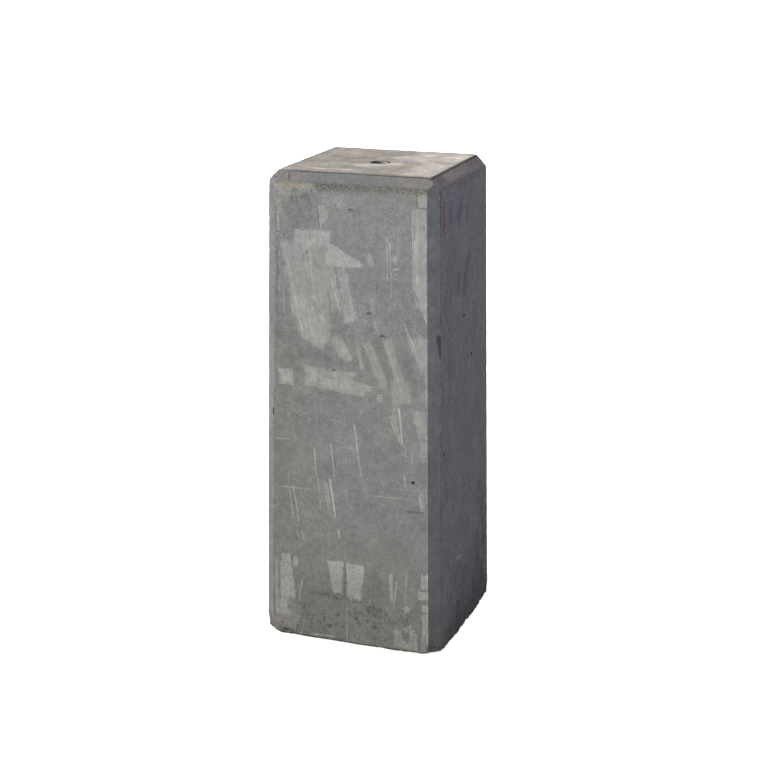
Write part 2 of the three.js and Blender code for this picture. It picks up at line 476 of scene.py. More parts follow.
@dataclass
class ConcreteBlock:
    """The cast pier with its pocket for the insert, pits and slots."""

    form: PierForm
    materials: dict[Zone, bpy.types.Material]
    insert_radius: float
    insert_top: float
    insert_floor: float
    insert_gap: float = 0.3
    dish_margin: float = 13.0
    dish_depth: float = 0.9
    dish_sides: int = 96
    pits: tuple[Pit, ...] = (
        Pit(Side.FRONT, 68.8, 189.5, 3.6, 3.6, 2.4),
        Pit(Side.FRONT, 35, 338.6, 6.4, 3.2, 0.45, False),
        Pit(Side.FRONT, 21, 360.8, 5.6, 2.8, 0.4, False),
        Pit(Side.FRONT, -17, 298.6, 5.2, 2.8, 0.4, False),
        Pit(Side.FRONT, 1, 462.6, 6.0, 3.4, 0.3, False),
        Pit(Side.FRONT, -4, 2, 2.4, 5, 0.7, False),
        Pit(Side.RIGHT, -3, 345, 5, 4, 2),
        Pit(Side.RIGHT, 24.3, 297, 5, 4, 2),
        Pit(Side.RIGHT, -74.7, 216, 5, 3, 1.6),
        Pit(Side.BACK, 31, 388, 5, 4, 2),
        Pit(Side.BACK, -52, 146, 4, 5, 2),
        Pit(Side.LEFT, 12, 262, 5, 4, 2),
    )
    slots: tuple[Slot, ...] = (
        Slot(Side.FRONT, 334, 3.4, 15, 0.6, 0.84),
        Slot(Side.LEFT, 249.5, 3.2, 9.6, 2.0, 0.74),
    )
    row_height: float = 3.0
    fine_row_height: float = 1.4
    columns: int = 72
    bevel_columns: int = 5
    smooth_angle: float = math.radians(32)

    def build(self) -> bpy.types.Object:
        """Model and dress the block.

        Returns:
            The finished piece.
        """
        piece = self.rough_out()
        piece.dress(self.materials)
        self.rule_rows(piece)
        self.rule_columns(piece)
        self.sort_zones(piece)
        self.weather(piece)
        self.cut_hollows(piece)
        piece.activate()
        bpy.ops.object.shade_smooth_by_angle(angle=self.smooth_angle)
        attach(piece.object, BODY)
        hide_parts(BLOCK_NODE)
        return piece.object

    def rough_out(self) -> Workpiece:
        """Make the plain tapered form with its bevels.

        Returns:
            The piece with a few large faces.
        """
        form = self.form
        piece = Workpiece.block("post_base_block", (form.foot_width, form.foot_width, form.height))
        piece.enter("FACE", lambda face: face.normal.z > 0.5)
        narrowing = form.top_width / form.foot_width
        bpy.ops.transform.resize(
            value=(narrowing, narrowing, 1), center_override=(0, 0, form.height * MM)
        )
        foot, rim = form.foot_width / 2, form.half_width(form.rim_start)
        for across, along in ((-1, -1), (1, -1), (1, 1), (-1, 1)):
            point = Vector((across * (foot - form.arris_bevel), along * foot, 0))
            piece.cut_along(point, Vector((across, along, 2 * form.taper)), False)
        for across, along in ((0, -1), (1, 0), (0, 1), (-1, 0)):
            point = Vector((across * rim, along * rim, form.rim_start))
            piece.cut_along(point, Vector((across, along, 1)), False)
        piece.leave()
        return piece

    def rule_rows(self, piece: Workpiece) -> None:
        """Cut level rows all the way up, fine ones at the foot and the rim."""
        form = self.form
        piece.enter("FACE", lambda face: True)
        level = self.fine_row_height
        while level < form.height - self.fine_row_height / 2:
            piece.cut_along(Vector((0, 0, level)), Vector((0, 0, 1)), True)
            fine = level < form.foot_band or level > form.rim_start - self.row_height
            level += self.fine_row_height if fine else self.row_height
        piece.leave()

    def rule_columns(self, piece: Workpiece) -> None:
        """Divide the level edges into columns, across, along and on the bevels."""
        level = 1e-6
        narrow = (self.form.arris_bevel + 1) * MM

        def runs(axis: int) -> Callable[[Vector, Vector], bool]:
            """Make a test for level edges that run along an axis and are not on a bevel."""
            return lambda a, b: abs((a - b)[1 - axis]) < level and abs((a - b).z) < level and abs(
                (a - b)[axis]
            ) > narrow

        for axis in (0, 1):
            piece.enter("EDGE", runs(axis))
            bpy.ops.mesh.subdivide(number_cuts=self.columns - 1, quadcorner="INNERVERT")
            piece.leave()
        shortest = 0.2 * self.form.arris_bevel * MM
        piece.enter(
            "EDGE",
            lambda a, b: abs((a - b).z) < level
            and min(abs((a - b).x), abs((a - b).y)) > shortest,
        )
        bpy.ops.mesh.subdivide(number_cuts=self.bevel_columns - 1, quadcorner="INNERVERT")
        piece.leave()

    def sort_zones(self, piece: Workpiece) -> None:
        """Give each face of the plain form the slot of its zone."""
        for face in piece.object.data.polygons:
            face.material_index = self.form.zone(face.center / MM, face.normal).value

    def weather(self, piece: Workpiece) -> None:
        """Move each point of the plain form by its wear, with one weighted Displace a way."""
        shifts = [self.form.shift(vertex.co / MM) * MM for vertex in piece.object.data.vertices]
        for axis, letter in enumerate("XYZ"):
            for way in (1, -1):
                amounts = [max(0.0, way * shift[axis]) for shift in shifts]
                most = max(amounts)
                if most == 0:
                    continue
                group = piece.object.vertex_groups.new(name=f"wear {letter}{way}")
                for index, amount in enumerate(amounts):
                    if amount > 0:
                        group.add([index], amount / most, "REPLACE")
                piece.modify(
                    "DISPLACE",
                    direction=letter,
                    strength=way * most,
                    mid_level=0.0,
                    vertex_group=group.name,
                )
        piece.object.vertex_groups.clear()

    def insert_hollow(self) -> Workpiece:
        """The hollow that takes the insert, with the shallow dish at its mouth."""
        pocket = self.insert_radius + self.insert_gap
        dish = self.insert_radius + self.dish_margin
        top, dish_floor = self.form.height, self.form.height - self.dish_depth
        between = pocket + 0.55 * (dish - pocket)
        above = 5
        profile = [
            (pocket, self.insert_floor - self.insert_gap),
            (pocket, dish_floor - 0.25),
            (pocket + 0.25, dish_floor),
            (between, dish_floor + 0.3 * self.dish_depth),
            (dish, top),
            (dish, top + above),
        ]
        hollow = Workpiece.turned("insert_hollow", profile, self.dish_sides)
        hollow.dress(self.materials)
        # Below the dish the pocket's walls get the near-black painted shade of a hollow.
        for face in hollow.object.data.polygons:
            in_dish = face.center.z > dish_floor * MM
            face.material_index = (Zone.TOP if in_dish else Zone.BROKEN).value
        return hollow

    def bead(self) -> Workpiece:
        """A blunt lumpy bead one millimetre in radius, which presses a pit into a face."""
        Workpiece.clear_bench()
        bpy.ops.mesh.primitive_ico_sphere_add(subdivisions=3, radius=MM)
        bead = Workpiece("bead")
        bead.dress(self.materials)
        bead.enter("FACE", lambda face: True)
        bpy.ops.transform.vertex_random(offset=0.14 * MM, uniform=0.0, normal=1.0, seed=3)
        bead.leave()
        return bead

    def press(
        self, bead: Workpiece, size: Vector, place: Vector, swing: float, side: Side, inside: Zone
    ) -> Workpiece:
        """Copy the bead to a place.

        Args:
            bead: The bead to copy.
            size: Half its width, its depth and half its height.
            place: Its middle as seen from the front side.
            swing: Its turn about Z at its place.
            side: The side that it goes round to.
            inside: The finish that the hollow gets.

        Returns:
            The copy.
        """
        copy = bead.copy()
        for face in copy.object.data.polygons:
            face.material_index = inside.value
        round_to = Matrix.Rotation(side.value * math.pi / 2, 4, "Z")
        move = Matrix.Translation(place * MM)
        shape = Matrix.Rotation(swing, 4, "Z") @ Matrix.Diagonal((*size, 1))
        copy.object.matrix_world = round_to @ move @ shape
        copy.activate()
        bpy.ops.object.transform_apply(location=True, rotation=True, scale=True)
        return copy

    def cut_hollows(self, piece: Workpiece) -> None:
        """Cut the pocket, the dish, the pits and the slots in one go."""
        form = self.form
        bead = self.bead()
        cutters = []
        for pit in self.pits:
            size = Vector((pit.width / 2, pit.depth, pit.tall / 2))
            place = Vector((pit.right, -form.half_width(pit.height), pit.height))
            # Deep pits and the slots are coloured near black inside, as painted shade of the hollow.
            inside = Zone.BROKEN if pit.shaded_inside else Zone[pit.side.name]
            cutters.append(self.press(bead, size, place, 0, pit.side, inside))
        for slot in self.slots:
            size = Vector((slot.width / 2, slot.depth, slot.tall / 2))
            middle = form.half_width(slot.height) - form.arris_bevel / 2
            over = slot.over * form.arris_bevel / 2
            place = Vector((middle + over, over - middle, slot.height))
            swing = math.pi / 4
            cutters.append(self.press(bead, size, place, swing, slot.side, Zone.BROKEN))
        bead.scrap()
        cutter = self.insert_hollow()
        cutter.join(cutters)
        piece.modify("BOOLEAN", operation="DIFFERENCE", solver="EXACT", object=cutter.object)
        cutter.scrap()


@dataclass
class ThreadedInsert:
    """The steel sleeve cast into the top, with a cut thread in its bore."""

    radius: float
    top: float
    floor: float
    bore: float = 13.8
    mouth_bevel: float = 1.6
    rim_round: float = 0.3
    floor_thickness: float = 4.0
    thread_depth: float = 1.1
    thread_pitch: float = 2.0
    sides: int = 64

    def build(self, material: bpy.types.Material) -> bpy.types.Object:
        """Model and dress the sleeve.

        Args:
            material: The steel.

        Returns:
            The finished piece.
        """
        bore = self.bore / 2
        bore_floor = self.floor + self.floor_thickness
        profile = [
            (self.radius, self.floor),
            (self.radius, self.top - self.rim_round),
            (self.radius - self.rim_round, self.top),
            (bore + self.mouth_bevel, self.top),
            (bore, self.top - self.mouth_bevel),
            (bore, bore_floor),
        ]
        piece = Workpiece.turned("threaded_sleeve", profile, self.sides)
        thread = self.thread(bore_floor)
        piece.modify("BOOLEAN", operation="DIFFERENCE", solver="EXACT", object=thread.object)
        thread.scrap()
        piece.activate()
        bpy.ops.object.shade_smooth_by_angle(angle=math.radians(30))
        piece.object.data.materials.append(material)
        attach(piece.object, BODY)
        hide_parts(INSERT_NODE)
        return piece.object

    def thread(self, start: float) -> Workpiece:
        """The helical wedge that cuts the thread.

        Args:
            start: Height of the thread's first turn.

        Returns:
            The wedge, closed at both ends.
        """
        Workpiece.clear_bench()
        bpy.ops.mesh.primitive_circle_add(
            vertices=3, radius=self.thread_depth * MM, fill_type="NGON", rotation=(math.pi / 2, 0, 0)
        )
        bpy.context.object.rotation_euler.y = math.pi / 2
        bpy.context.object.location = (
            (self.bore / 2 + 0.25 * self.thread_depth) * MM,
            0,
            (start + self.thread_pitch) * MM,
        )
        wedge = Workpiece("thread_wedge")
        turns = int((self.top - start) / self.thread_pitch)
        wedge.modify(
            "SCREW",
            angle=2 * math.pi,
            iterations=turns,
            screw_offset=self.thread_pitch * MM,
            steps=self.sides,
            render_steps=self.sides,
            use_merge_vertices=True,
        )
        wedge.enter("FACE", lambda face: True)
        bpy.ops.mesh.normals_make_consistent(inside=False)
        wedge.leave()
        return wedge


# Shading


class Graph:
    """A node tree that is wired from left to right."""

    def __init__(self, tree: bpy.types.NodeTree) -> None:
        """Start on a tree.

        Args:
            tree: The node tree of a material, a world or a group.
        """
        self.tree = tree

    def add(self, kind: str, *values: Feed, **settings: object) -> bpy.types.Node:
        """Add a node and feed its first inputs.

        Args:
            kind: The node's type, without the word ShaderNode.
            values: A value or a socket for each input in turn, or None to leave it.
            settings: The node's properties.

        Returns:
            The node.
        """
        node = self.tree.nodes.new("ShaderNode" + kind)
        for name, value in settings.items():
            setattr(node, name, value)
        for socket, value in zip(node.inputs, values):
            self.feed(socket, value)
        return node

    def feed(self, socket: Socket, value: Feed) -> None:
        """Link a socket to an input, or set the input's own value."""
        if isinstance(value, Socket):
            self.tree.links.new(value, socket)
        elif value is not None:
            socket.default_value = value

    def math(self, operation: str, *values: Feed, clamp: bool = False) -> Socket:
        """Add a Math node and give its result."""
        return self.add("Math", *values, operation=operation, use_clamp=clamp).outputs[0]

    def sway(self, value: Socket, amount: float) -> Socket:
        """Turn a value about one half into a factor about one."""
        return self.math("MULTIPLY_ADD", value, amount, 1 - amount / 2)

    def ease(self, value: Socket, start: float, end: float) -> Socket:
        """Ease a value from 0 at start to 1 at end."""
        node = self.add("MapRange", value, start, end, interpolation_type="SMOOTHSTEP")
        return node.outputs[0]

    def scale(self, colour: Socket, factor: Feed) -> Socket:
        """Multiply a colour by a number."""
        node = self.add("VectorMath", colour, operation="SCALE")
        self.feed(node.inputs["Scale"], factor)
        return node.outputs[0]

    def tint(self, share: Feed, colour: Socket, tone: Colour) -> Socket:
        """Multiply a colour by a tone, as far as a mask says."""
        node = self.add("Mix", data_type="RGBA", blend_type="MULTIPLY", clamp_factor=True)
        self.feed(node.inputs[0], share)
        self.feed(node.inputs[6], colour)
        self.feed(node.inputs[7], (*tone, 1.0))
        return node.outputs[2]

    def group(self, tree: bpy.types.NodeTree, **values: Feed) -> Socket:
        """Place a node group.

        Args:
            tree: The group.
            values: Its inputs by name, with _ for a space.

        Returns:
            The group's first output.
        """
        node = self.tree.nodes.new("ShaderNodeGroup")
        node.node_tree = tree
        for name, value in values.items():
            self.feed(node.inputs[name.replace("_", " ")], value)
        return node.outputs[0]


class Effects:
    """The shader node groups that the finishes share, each built once."""

    def __init__(self) -> None:
        """Build the groups."""
        self.wander = self.make("Wander", {"Vector": 3, "Size": 1, "Amount": 1}, 3, self.draw_wander)
        self.mark = self.make(
            "Straight mark",
            {
                "Vector": 3,
                "Along": 3,
                "Across": 3,
                "Middle Along": 1,
                "Middle Across": 1,
                "Half Length": 1,
                "Half Width": 1,
                "Taper": 1,
                "Run Out": 1,
                "Feather": 1,
                "Strength": 1,
            },
            1,
            self.draw_mark,
        )
        self.spot = self.make(
            "Spot",
            {"Vector": 3, "Middle": 3, "Scale": 3, "Feather": 1, "Strength": 1},
            1,
            self.draw_spot,
        )
        self.pit_shadow = self.make(
            "Painted pit shadow",
            {"Vector": 3, "Middle": 3, "Scale": 3, "Drop": 3, "Strength": 1},
            1,
            self.draw_pit_shadow,
        )
        self.streaks = self.make(
            "Streaks", {"Vector": 3, "Lean": 3, "Scale": 3}, 1, self.draw_streaks
        )
        self.grain = self.make("Sand grain", {"Vector": 3, "Fineness": 1}, 1, self.draw_grain)
        self.clouds = self.make("Clouds", {"Vector": 3, "Size": 1}, 1, self.draw_clouds)
        self.pinholes = self.make(
            "Pinholes", {"Vector": 3, "Spacing": 1, "Radius": 1, "Share": 1}, 1, self.draw_pinholes
        )

    @staticmethod
    def make(
        name: str, inputs: dict[str, int], result: int, draw: Callable[[Graph, list[Socket]], Socket]
    ) -> bpy.types.NodeTree:
        """Build a group.

        Args:
            name: The group's name.
            inputs: Each input's name, with 1 for a number and 3 for a vector.
            result: 1 where the group gives a number, 3 where it gives a vector.
            draw: Wires the inside from the inputs to the result.

        Returns:
            The group.
        """
        kinds = {1: "NodeSocketFloat", 3: "NodeSocketVector"}
        tree = bpy.data.node_groups.new(name, "ShaderNodeTree")
        for label, size in inputs.items():
            tree.interface.new_socket(name=label, in_out="INPUT", socket_type=kinds[size])
        tree.interface.new_socket(name="Result", in_out="OUTPUT", socket_type=kinds[result])
        start = tree.nodes.new("NodeGroupInput")
        end = tree.nodes.new("NodeGroupOutput")
        tree.links.new(draw(Graph(tree), start.outputs), end.inputs[0])
        return tree

    @staticmethod
    def draw_wander(graph: Graph, inputs: list[Socket]) -> Socket:
        """Let a place stray by a soft noise."""
        place, size, amount = inputs[:3]
        fineness = graph.math("DIVIDE", 1.0, size)
        stray = graph.add("TexNoise", place, None, fineness, 4.0, 0.62).outputs["Color"]
        centred = graph.add("VectorMath", stray, (0.5, 0.5, 0.5), operation="SUBTRACT").outputs[0]
        scaled = graph.add("VectorMath", centred, operation="SCALE")
        graph.feed(scaled.inputs["Scale"], amount)
        return graph.add("VectorMath", place, scaled.outputs[0], operation="ADD").outputs[0]

    @staticmethod
    def draw_mark(graph: Graph, inputs: list[Socket]) -> Socket:
        """Draw a straight mark that may widen along its length."""
        place, along, across, middle_along, middle_across, half_length, half_width = inputs[:7]
        taper, run_out, feather, strength = inputs[7:11]
        run = graph.add("VectorMath", place, along, operation="DOT_PRODUCT").outputs["Value"]
        run = graph.math("SUBTRACT", run, middle_along)
        off = graph.add("VectorMath", place, across, operation="DOT_PRODUCT").outputs["Value"]
        off = graph.math("SUBTRACT", off, middle_across)
        to_end = graph.math("SUBTRACT", half_length, graph.math("ABSOLUTE", run))
        ends = graph.math("DIVIDE", to_end, run_out)
        width = graph.math("MULTIPLY_ADD", run, taper, half_width)
        to_side = graph.math("SUBTRACT", width, graph.math("ABSOLUTE", off))
        sides = graph.math("DIVIDE", to_side, feather)
        inside = graph.math("MINIMUM", graph.math("MINIMUM", ends, sides), 1.0)
        return graph.math("MULTIPLY", inside, strength)

    @staticmethod
    def draw_spot(graph: Graph, inputs: list[Socket]) -> Socket:
        """Draw an oval spot."""
        place, middle, scale, feather, strength = inputs[:5]
        local = graph.add("VectorMath", place, middle, operation="SUBTRACT").outputs[0]
        oval = graph.add("VectorMath", local, scale, operation="DIVIDE").outputs[0]
        length = graph.add("VectorMath", oval, operation="LENGTH").outputs["Value"]
        inside = graph.math("DIVIDE", graph.math("SUBTRACT", 1.0, length), feather)
        return graph.math("MULTIPLY", graph.math("MINIMUM", inside, 1.0), strength)

    @staticmethod
    def draw_pit_shadow(graph: Graph, inputs: list[Socket]) -> Socket:
        """Draw a pit's painted shadow as an arc: an oval without the same oval dropped a little."""
        place, middle, scale, drop, strength = inputs[:5]
        local = graph.add("VectorMath", place, middle, operation="SUBTRACT").outputs[0]
        oval = graph.add("VectorMath", local, scale, operation="DIVIDE").outputs[0]
        outer = graph.add("VectorMath", oval, operation="LENGTH").outputs["Value"]
        low = graph.add("VectorMath", local, drop, operation="SUBTRACT").outputs[0]
        low_oval = graph.add("VectorMath", low, scale, operation="DIVIDE").outputs[0]
        inner = graph.add("VectorMath", low_oval, operation="LENGTH").outputs["Value"]
        inside = graph.math("DIVIDE", graph.math("SUBTRACT", 1.0, outer), 0.3)
        inside = graph.math("MAXIMUM", graph.math("MINIMUM", inside, 1.0), 0.0)
        outside = graph.math("DIVIDE", graph.math("SUBTRACT", inner, 0.9), 0.4)
        outside = graph.math("MAXIMUM", graph.math("MINIMUM", outside, 1.0), 0.0)
        both = graph.math("MULTIPLY", inside, outside)
        return graph.math("MULTIPLY", both, strength)

    @staticmethod
    def draw_streaks(graph: Graph, inputs: list[Socket]) -> Socket:
        """Draw long fine streaks, centred on zero."""
        place, lean, scale = inputs[:3]
        local = graph.add("Mapping", place, None, lean, scale, vector_type="TEXTURE").outputs[0]
        value = graph.add("TexNoise", local, None, 1.0, 3.0, 0.62).outputs[0]
        return graph.math("MULTIPLY_ADD", value, 2.4, -1.2)

    @staticmethod
    def draw_grain(graph: Graph, inputs: list[Socket]) -> Socket:
        """Draw the sand in the concrete."""
        place, fineness = inputs[:2]
        return graph.add("TexNoise", place, None, fineness, 3.0, 0.7).outputs[0]

    @staticmethod
    def draw_clouds(graph: Graph, inputs: list[Socket]) -> Socket:
        """Draw broad soft mottling."""
        place, size = inputs[:2]
        fineness = graph.math("DIVIDE", 1.0, size)
        return graph.add("TexNoise", place, None, fineness, 4.0, 0.58).outputs[0]

    @staticmethod
    def draw_pinholes(graph: Graph, inputs: list[Socket]) -> Socket:
        """Draw scattered pinholes: in each cell a dot, kept where the cell's draw is low."""
        place, spacing, radius, share = inputs[:4]
        fineness = graph.math("DIVIDE", 1.0, spacing)
        cells = graph.add("TexVoronoi", place, None, fineness)
        distance = graph.math("MULTIPLY", cells.outputs["Distance"], spacing)
        draws = graph.add("SeparateXYZ", cells.outputs["Color"]).outputs
        reach = graph.math("MULTIPLY", radius, draws[1])
        inside = graph.math("SUBTRACT", reach, distance)
        dot = graph.math("MULTIPLY", inside, 3.0, clamp=True)
        kept = graph.math("LESS_THAN", draws[0], share)
        return graph.math("MULTIPLY", dot, kept)


@dataclass(frozen=True)
class Mark:
    """A straight mark on a zone's plane, from end to end, in millimetres."""

    start: Place
    end: Place
    width: float
    end_width: float
    strength: float = 1.0
    feather: float = 1.0
    run_out: float = 3.0

    def draw(self, graph: Graph, effects: Effects, place: Socket) -> Socket:
        """Wire the mark at a place and give its mask."""
        start, end = Vector(self.start), Vector(self.end)
        along = end - start
        way, middle = along.normalized(), (start + end) / 2
        across = Vector((-way.y, way.x))
        return graph.group(
            effects.mark,
            Vector=place,
            Along=(*way, 0),
            Across=(*across, 0),
            Middle_Along=middle.dot(way),
            Middle_Across=middle.dot(across),
            Half_Length=along.length / 2 + self.run_out / 2,
            Half_Width=(self.width + self.end_width) / 4 + self.feather / 2,
            Taper=(self.end_width - self.width) / 2 / max(along.length, 1.0),
            Run_Out=self.run_out,
            Feather=self.feather,
            Strength=self.strength,
        )


@dataclass(frozen=True)
class Spot:
    """An oval spot on a zone's plane, in millimetres."""

    middle: Place
    width: float
    height: float
    strength: float = 1.0
    feather: float = 0.5

    def draw(self, graph: Graph, effects: Effects, place: Socket) -> Socket:
        """Wire the spot at a place and give its mask."""
        return graph.group(
            effects.spot,
            Vector=place,
            Middle=(*self.middle, 0),
            Scale=(self.width / 2, self.height / 2, 1),
            Feather=self.feather,
            Strength=self.strength,
        )


@dataclass(frozen=True)
class Arc:
    """The painted shadow along the upper rim of a shallow pit on a zone's plane, in millimetres."""

    middle: Place
    width: float
    height: float
    strength: float = 1.0

    def draw(self, graph: Graph, effects: Effects, place: Socket) -> Socket:
        """Wire the arc at a place and give its mask."""
        return graph.group(
            effects.pit_shadow,
            Vector=place,
            Middle=(*self.middle, 0),
            Scale=(self.width / 2, self.height / 2, 1),
            Drop=(0, -0.45 * self.height, 0),
            Strength=self.strength,
        )


@dataclass(frozen=True)
class Layer:
    """Marks of one tone and one kind of border."""

    tone: Colour
    marks: tuple["Mark | Spot | Arc", ...]
    wander: float = 1.0
    wander_size: float = 8.0
    ragged: float = 0.0
    lean: float = 0.0
    streak_width: float = 2.0
    streak_length: float = 40.0
    softness: float = 0.12
    patchy: float = 0.0
    patch_size: float = 8.0
    streaky: float = 0.0
    cover: float = 0.0

    def mask(self, graph: Graph, effects: Effects, plane: Socket) -> Socket:
        """Wire the layer's mask.

        Args:
            graph: The material's tree.
            effects: The shared groups.
            plane: The zone's plane in millimetres.

        Returns:
            The mask, 0 to 1.
        """
        place = graph.group(effects.wander, Vector=plane, Size=self.wander_size, Amount=self.wander)
        total: Feed = 0.0
        for mark in self.marks:
            total = graph.math("MAXIMUM", mark.draw(graph, effects, place), total)
        if self.ragged > 0:
            streaks = graph.group(
                effects.streaks,
                Vector=plane,
                Lean=(0, 0, math.radians(self.lean)),
                Scale=(self.streak_width, self.streak_length, 1),
            )
            broken = graph.math("MULTIPLY_ADD", streaks, self.ragged, total)
            total = graph.ease(broken, 0.5 - self.softness, 0.5 + self.softness)
            if self.streaky > 0:
                body = graph.math("MULTIPLY_ADD", streaks, self.streaky, 1 - 0.3 * self.streaky)
                total = graph.math("MULTIPLY", total, body)
        if self.patchy > 0:
            clouds = graph.group(effects.clouds, Vector=place, Size=self.patch_size)
            thin = graph.ease(clouds, 0.42, 0.62)
            total = graph.math("MULTIPLY", total, graph.math("MULTIPLY_ADD", thin, -self.patchy, 1.0))
        return total


@dataclass(frozen=True)
class ConcreteFinish:
    """The finish of one zone of the concrete."""

    name: str
    zone: Zone
    shades: tuple[tuple[float, Colour], ...]
    layers: tuple[Layer, ...] = ()
    grain: float = 1.15
    grain_fineness: float = 0.62
    mottle: float = 0.55
    mottle_size: float = 26.0
    fine_mottle: float = 0.5
    streaks: float = 0.12
    streak_lean: float = 0.0
    pinhole_share: float = 0.05
    roughness: float = 0.82
    relief: float = 0.16
    height_range: float = 500.0

    def plane(self, graph: Graph, place: Socket) -> Socket:
        """Lay the zone out flat, to the right and up.

        Args:
            graph: The material's tree.
            place: Object coordinates in millimetres.

        Returns:
            The place on the zone's plane.
        """
        x, y, z = graph.add("SeparateXYZ", place).outputs
        if self.zone in (Zone.TOP, Zone.RIM, Zone.UNDERSIDE):
            return graph.add("CombineXYZ", x, y).outputs[0]
        run = y if self.zone in (Zone.RIGHT, Zone.LEFT) else x
        if self.zone in (Zone.BACK, Zone.LEFT):
            run = graph.math("MULTIPLY", run, -1.0)
        if self.zone is Zone.ARRIS:
            behind = graph.math("GREATER_THAN", y, 0.0)
            run = graph.math("MULTIPLY_ADD", behind, BACK_ARRIS_SHIFT, x)
        return graph.add("CombineXYZ", run, z).outputs[0]

    def shade(self, graph: Graph, place: Socket) -> Socket:
        """Colour by height, from the shades."""
        height = graph.add("SeparateXYZ", place).outputs[2]
        share = graph.math("DIVIDE", height, self.height_range, clamp=True)
        ramp = graph.add("ValToRGB", share)
        stops = ramp.color_ramp.elements
        while len(stops) > 1:
            stops.remove(stops[-1])
        for index, (level, colour) in enumerate(self.shades):
            at = level / self.height_range
            stop = stops[0] if index == 0 else stops.new(at)
            stop.position = at
            stop.color = (*colour, 1.0)
        return ramp.outputs[0]

    def make(self, effects: Effects) -> bpy.types.Material:
        """Build the material.

        Args:
            effects: The shared groups.

        Returns:
            The material.
        """
        material = bpy.data.materials.new(self.name)
        material.use_nodes = True
        graph = Graph(material.node_tree)
        shader = material.node_tree.nodes["Principled BSDF"]
        metres = graph.add("TexCoord").outputs["Object"]
        scaled = graph.add("VectorMath", metres, operation="SCALE")
        scaled.inputs["Scale"].default_value = 1 / MM
        place = scaled.outputs[0]
        plane = self.plane(graph, place)

        colour = self.shade(graph, place)
        grain = graph.group(effects.grain, Vector=place, Fineness=self.grain_fineness)
        clouds = graph.group(effects.clouds, Vector=place, Size=self.mottle_size)
        spots = graph.group(effects.clouds, Vector=place, Size=self.mottle_size / 4)
        streaks = graph.group(
            effects.streaks,
            Vector=plane,
            Lean=(0, 0, math.radians(self.streak_lean)),
            Scale=(2.2, 60.0, 1),
        )
        factor = graph.math(
            "MULTIPLY", graph.sway(spots, self.fine_mottle), graph.sway(clouds, self.mottle)
        )
        factor = graph.math("MULTIPLY", factor, graph.math("MULTIPLY_ADD", streaks, self.streaks, 1.0))
        colour = graph.scale(colour, factor)
        cover: Feed = 0.0
        for layer in self.layers:
            mask = layer.mask(graph, effects, plane)
            colour = graph.tint(mask, colour, layer.tone)
            if layer.cover > 0:
                hidden = graph.math("MULTIPLY", mask, layer.cover)
                cover = graph.math("MAXIMUM", cover, hidden)
        strength = graph.math("MULTIPLY_ADD", cover, -self.grain, self.grain)
        centred = graph.math("SUBTRACT", grain, 0.5)
        colour = graph.scale(colour, graph.math("MULTIPLY_ADD", centred, strength, 1.0))
        holes = graph.group(
            effects.pinholes, Vector=place, Spacing=7.0, Radius=0.9, Share=self.pinhole_share
        )
        # Painted shade: the pinholes are coloured darker, standing in for the shade inside them.
        colour = graph.tint(holes, colour, (0.42, 0.42, 0.42))

        height = graph.math("MULTIPLY_ADD", streaks, 0.12, grain)
        height = graph.math("SUBTRACT", height, holes)
        bump = graph.add("Bump", 1.0, self.relief * MM, None, height)
        graph.feed(shader.inputs["Base Color"], colour)
        graph.feed(shader.inputs["Roughness"], graph.math("MULTIPLY_ADD", clouds, 0.2, self.roughness - 0.1))
        graph.feed(shader.inputs["Normal"], bump.outputs[0])
        shader.inputs["Specular IOR Level"].default_value = 0.35
        return material


@dataclass(frozen=True)
class SteelFinish:
    """Dull machined steel with cement smeared on it."""

    name: str = "insert steel"
    colour: Colour = (0.80, 0.80, 0.77)
    smear: Colour = (0.46, 0.445, 0.40)
    roughness: float = 0.38

    def make(self, effects: Effects) -> bpy.types.Material:
        """Build the material.

        Args:
            effects: The shared groups.

        Returns:
            The material.
        """
        material = bpy.data.materials.new(self.name)
        material.use_nodes = True
        graph = Graph(material.node_tree)
        shader = material.node_tree.nodes["Principled BSDF"]
        metres = graph.add("TexCoord").outputs["Object"]
        scaled = graph.add("VectorMath", metres, operation="SCALE")
        scaled.inputs["Scale"].default_value = 1 / MM
        place = scaled.outputs[0]
        clouds = graph.group(effects.clouds, Vector=place, Size=4.0)
        grain = graph.group(effects.grain, Vector=place, Fineness=2.2)
        cement = graph.ease(clouds, 0.45, 0.58)
        mix = graph.add("Mix", data_type="RGBA")
        graph.feed(mix.inputs[0], cement)
        graph.feed(mix.inputs[6], (*self.colour, 1.0))
        graph.feed(mix.inputs[7], (*self.smear, 1.0))
        graph.feed(shader.inputs["Base Color"], mix.outputs[2])
        graph.feed(shader.inputs["Metallic"], graph.math("SUBTRACT", 1.0, cement))
        graph.feed(shader.inputs["Roughness"], graph.math("MULTIPLY_ADD", cement, 0.4, self.roughness))
        bump = graph.add("Bump", 1.0, 0.05 * MM, None, grain)
        graph.feed(shader.inputs["Normal"], bump.outputs[0])
        return material


# Marks of the front, in millimetres right of its middle and above the ground

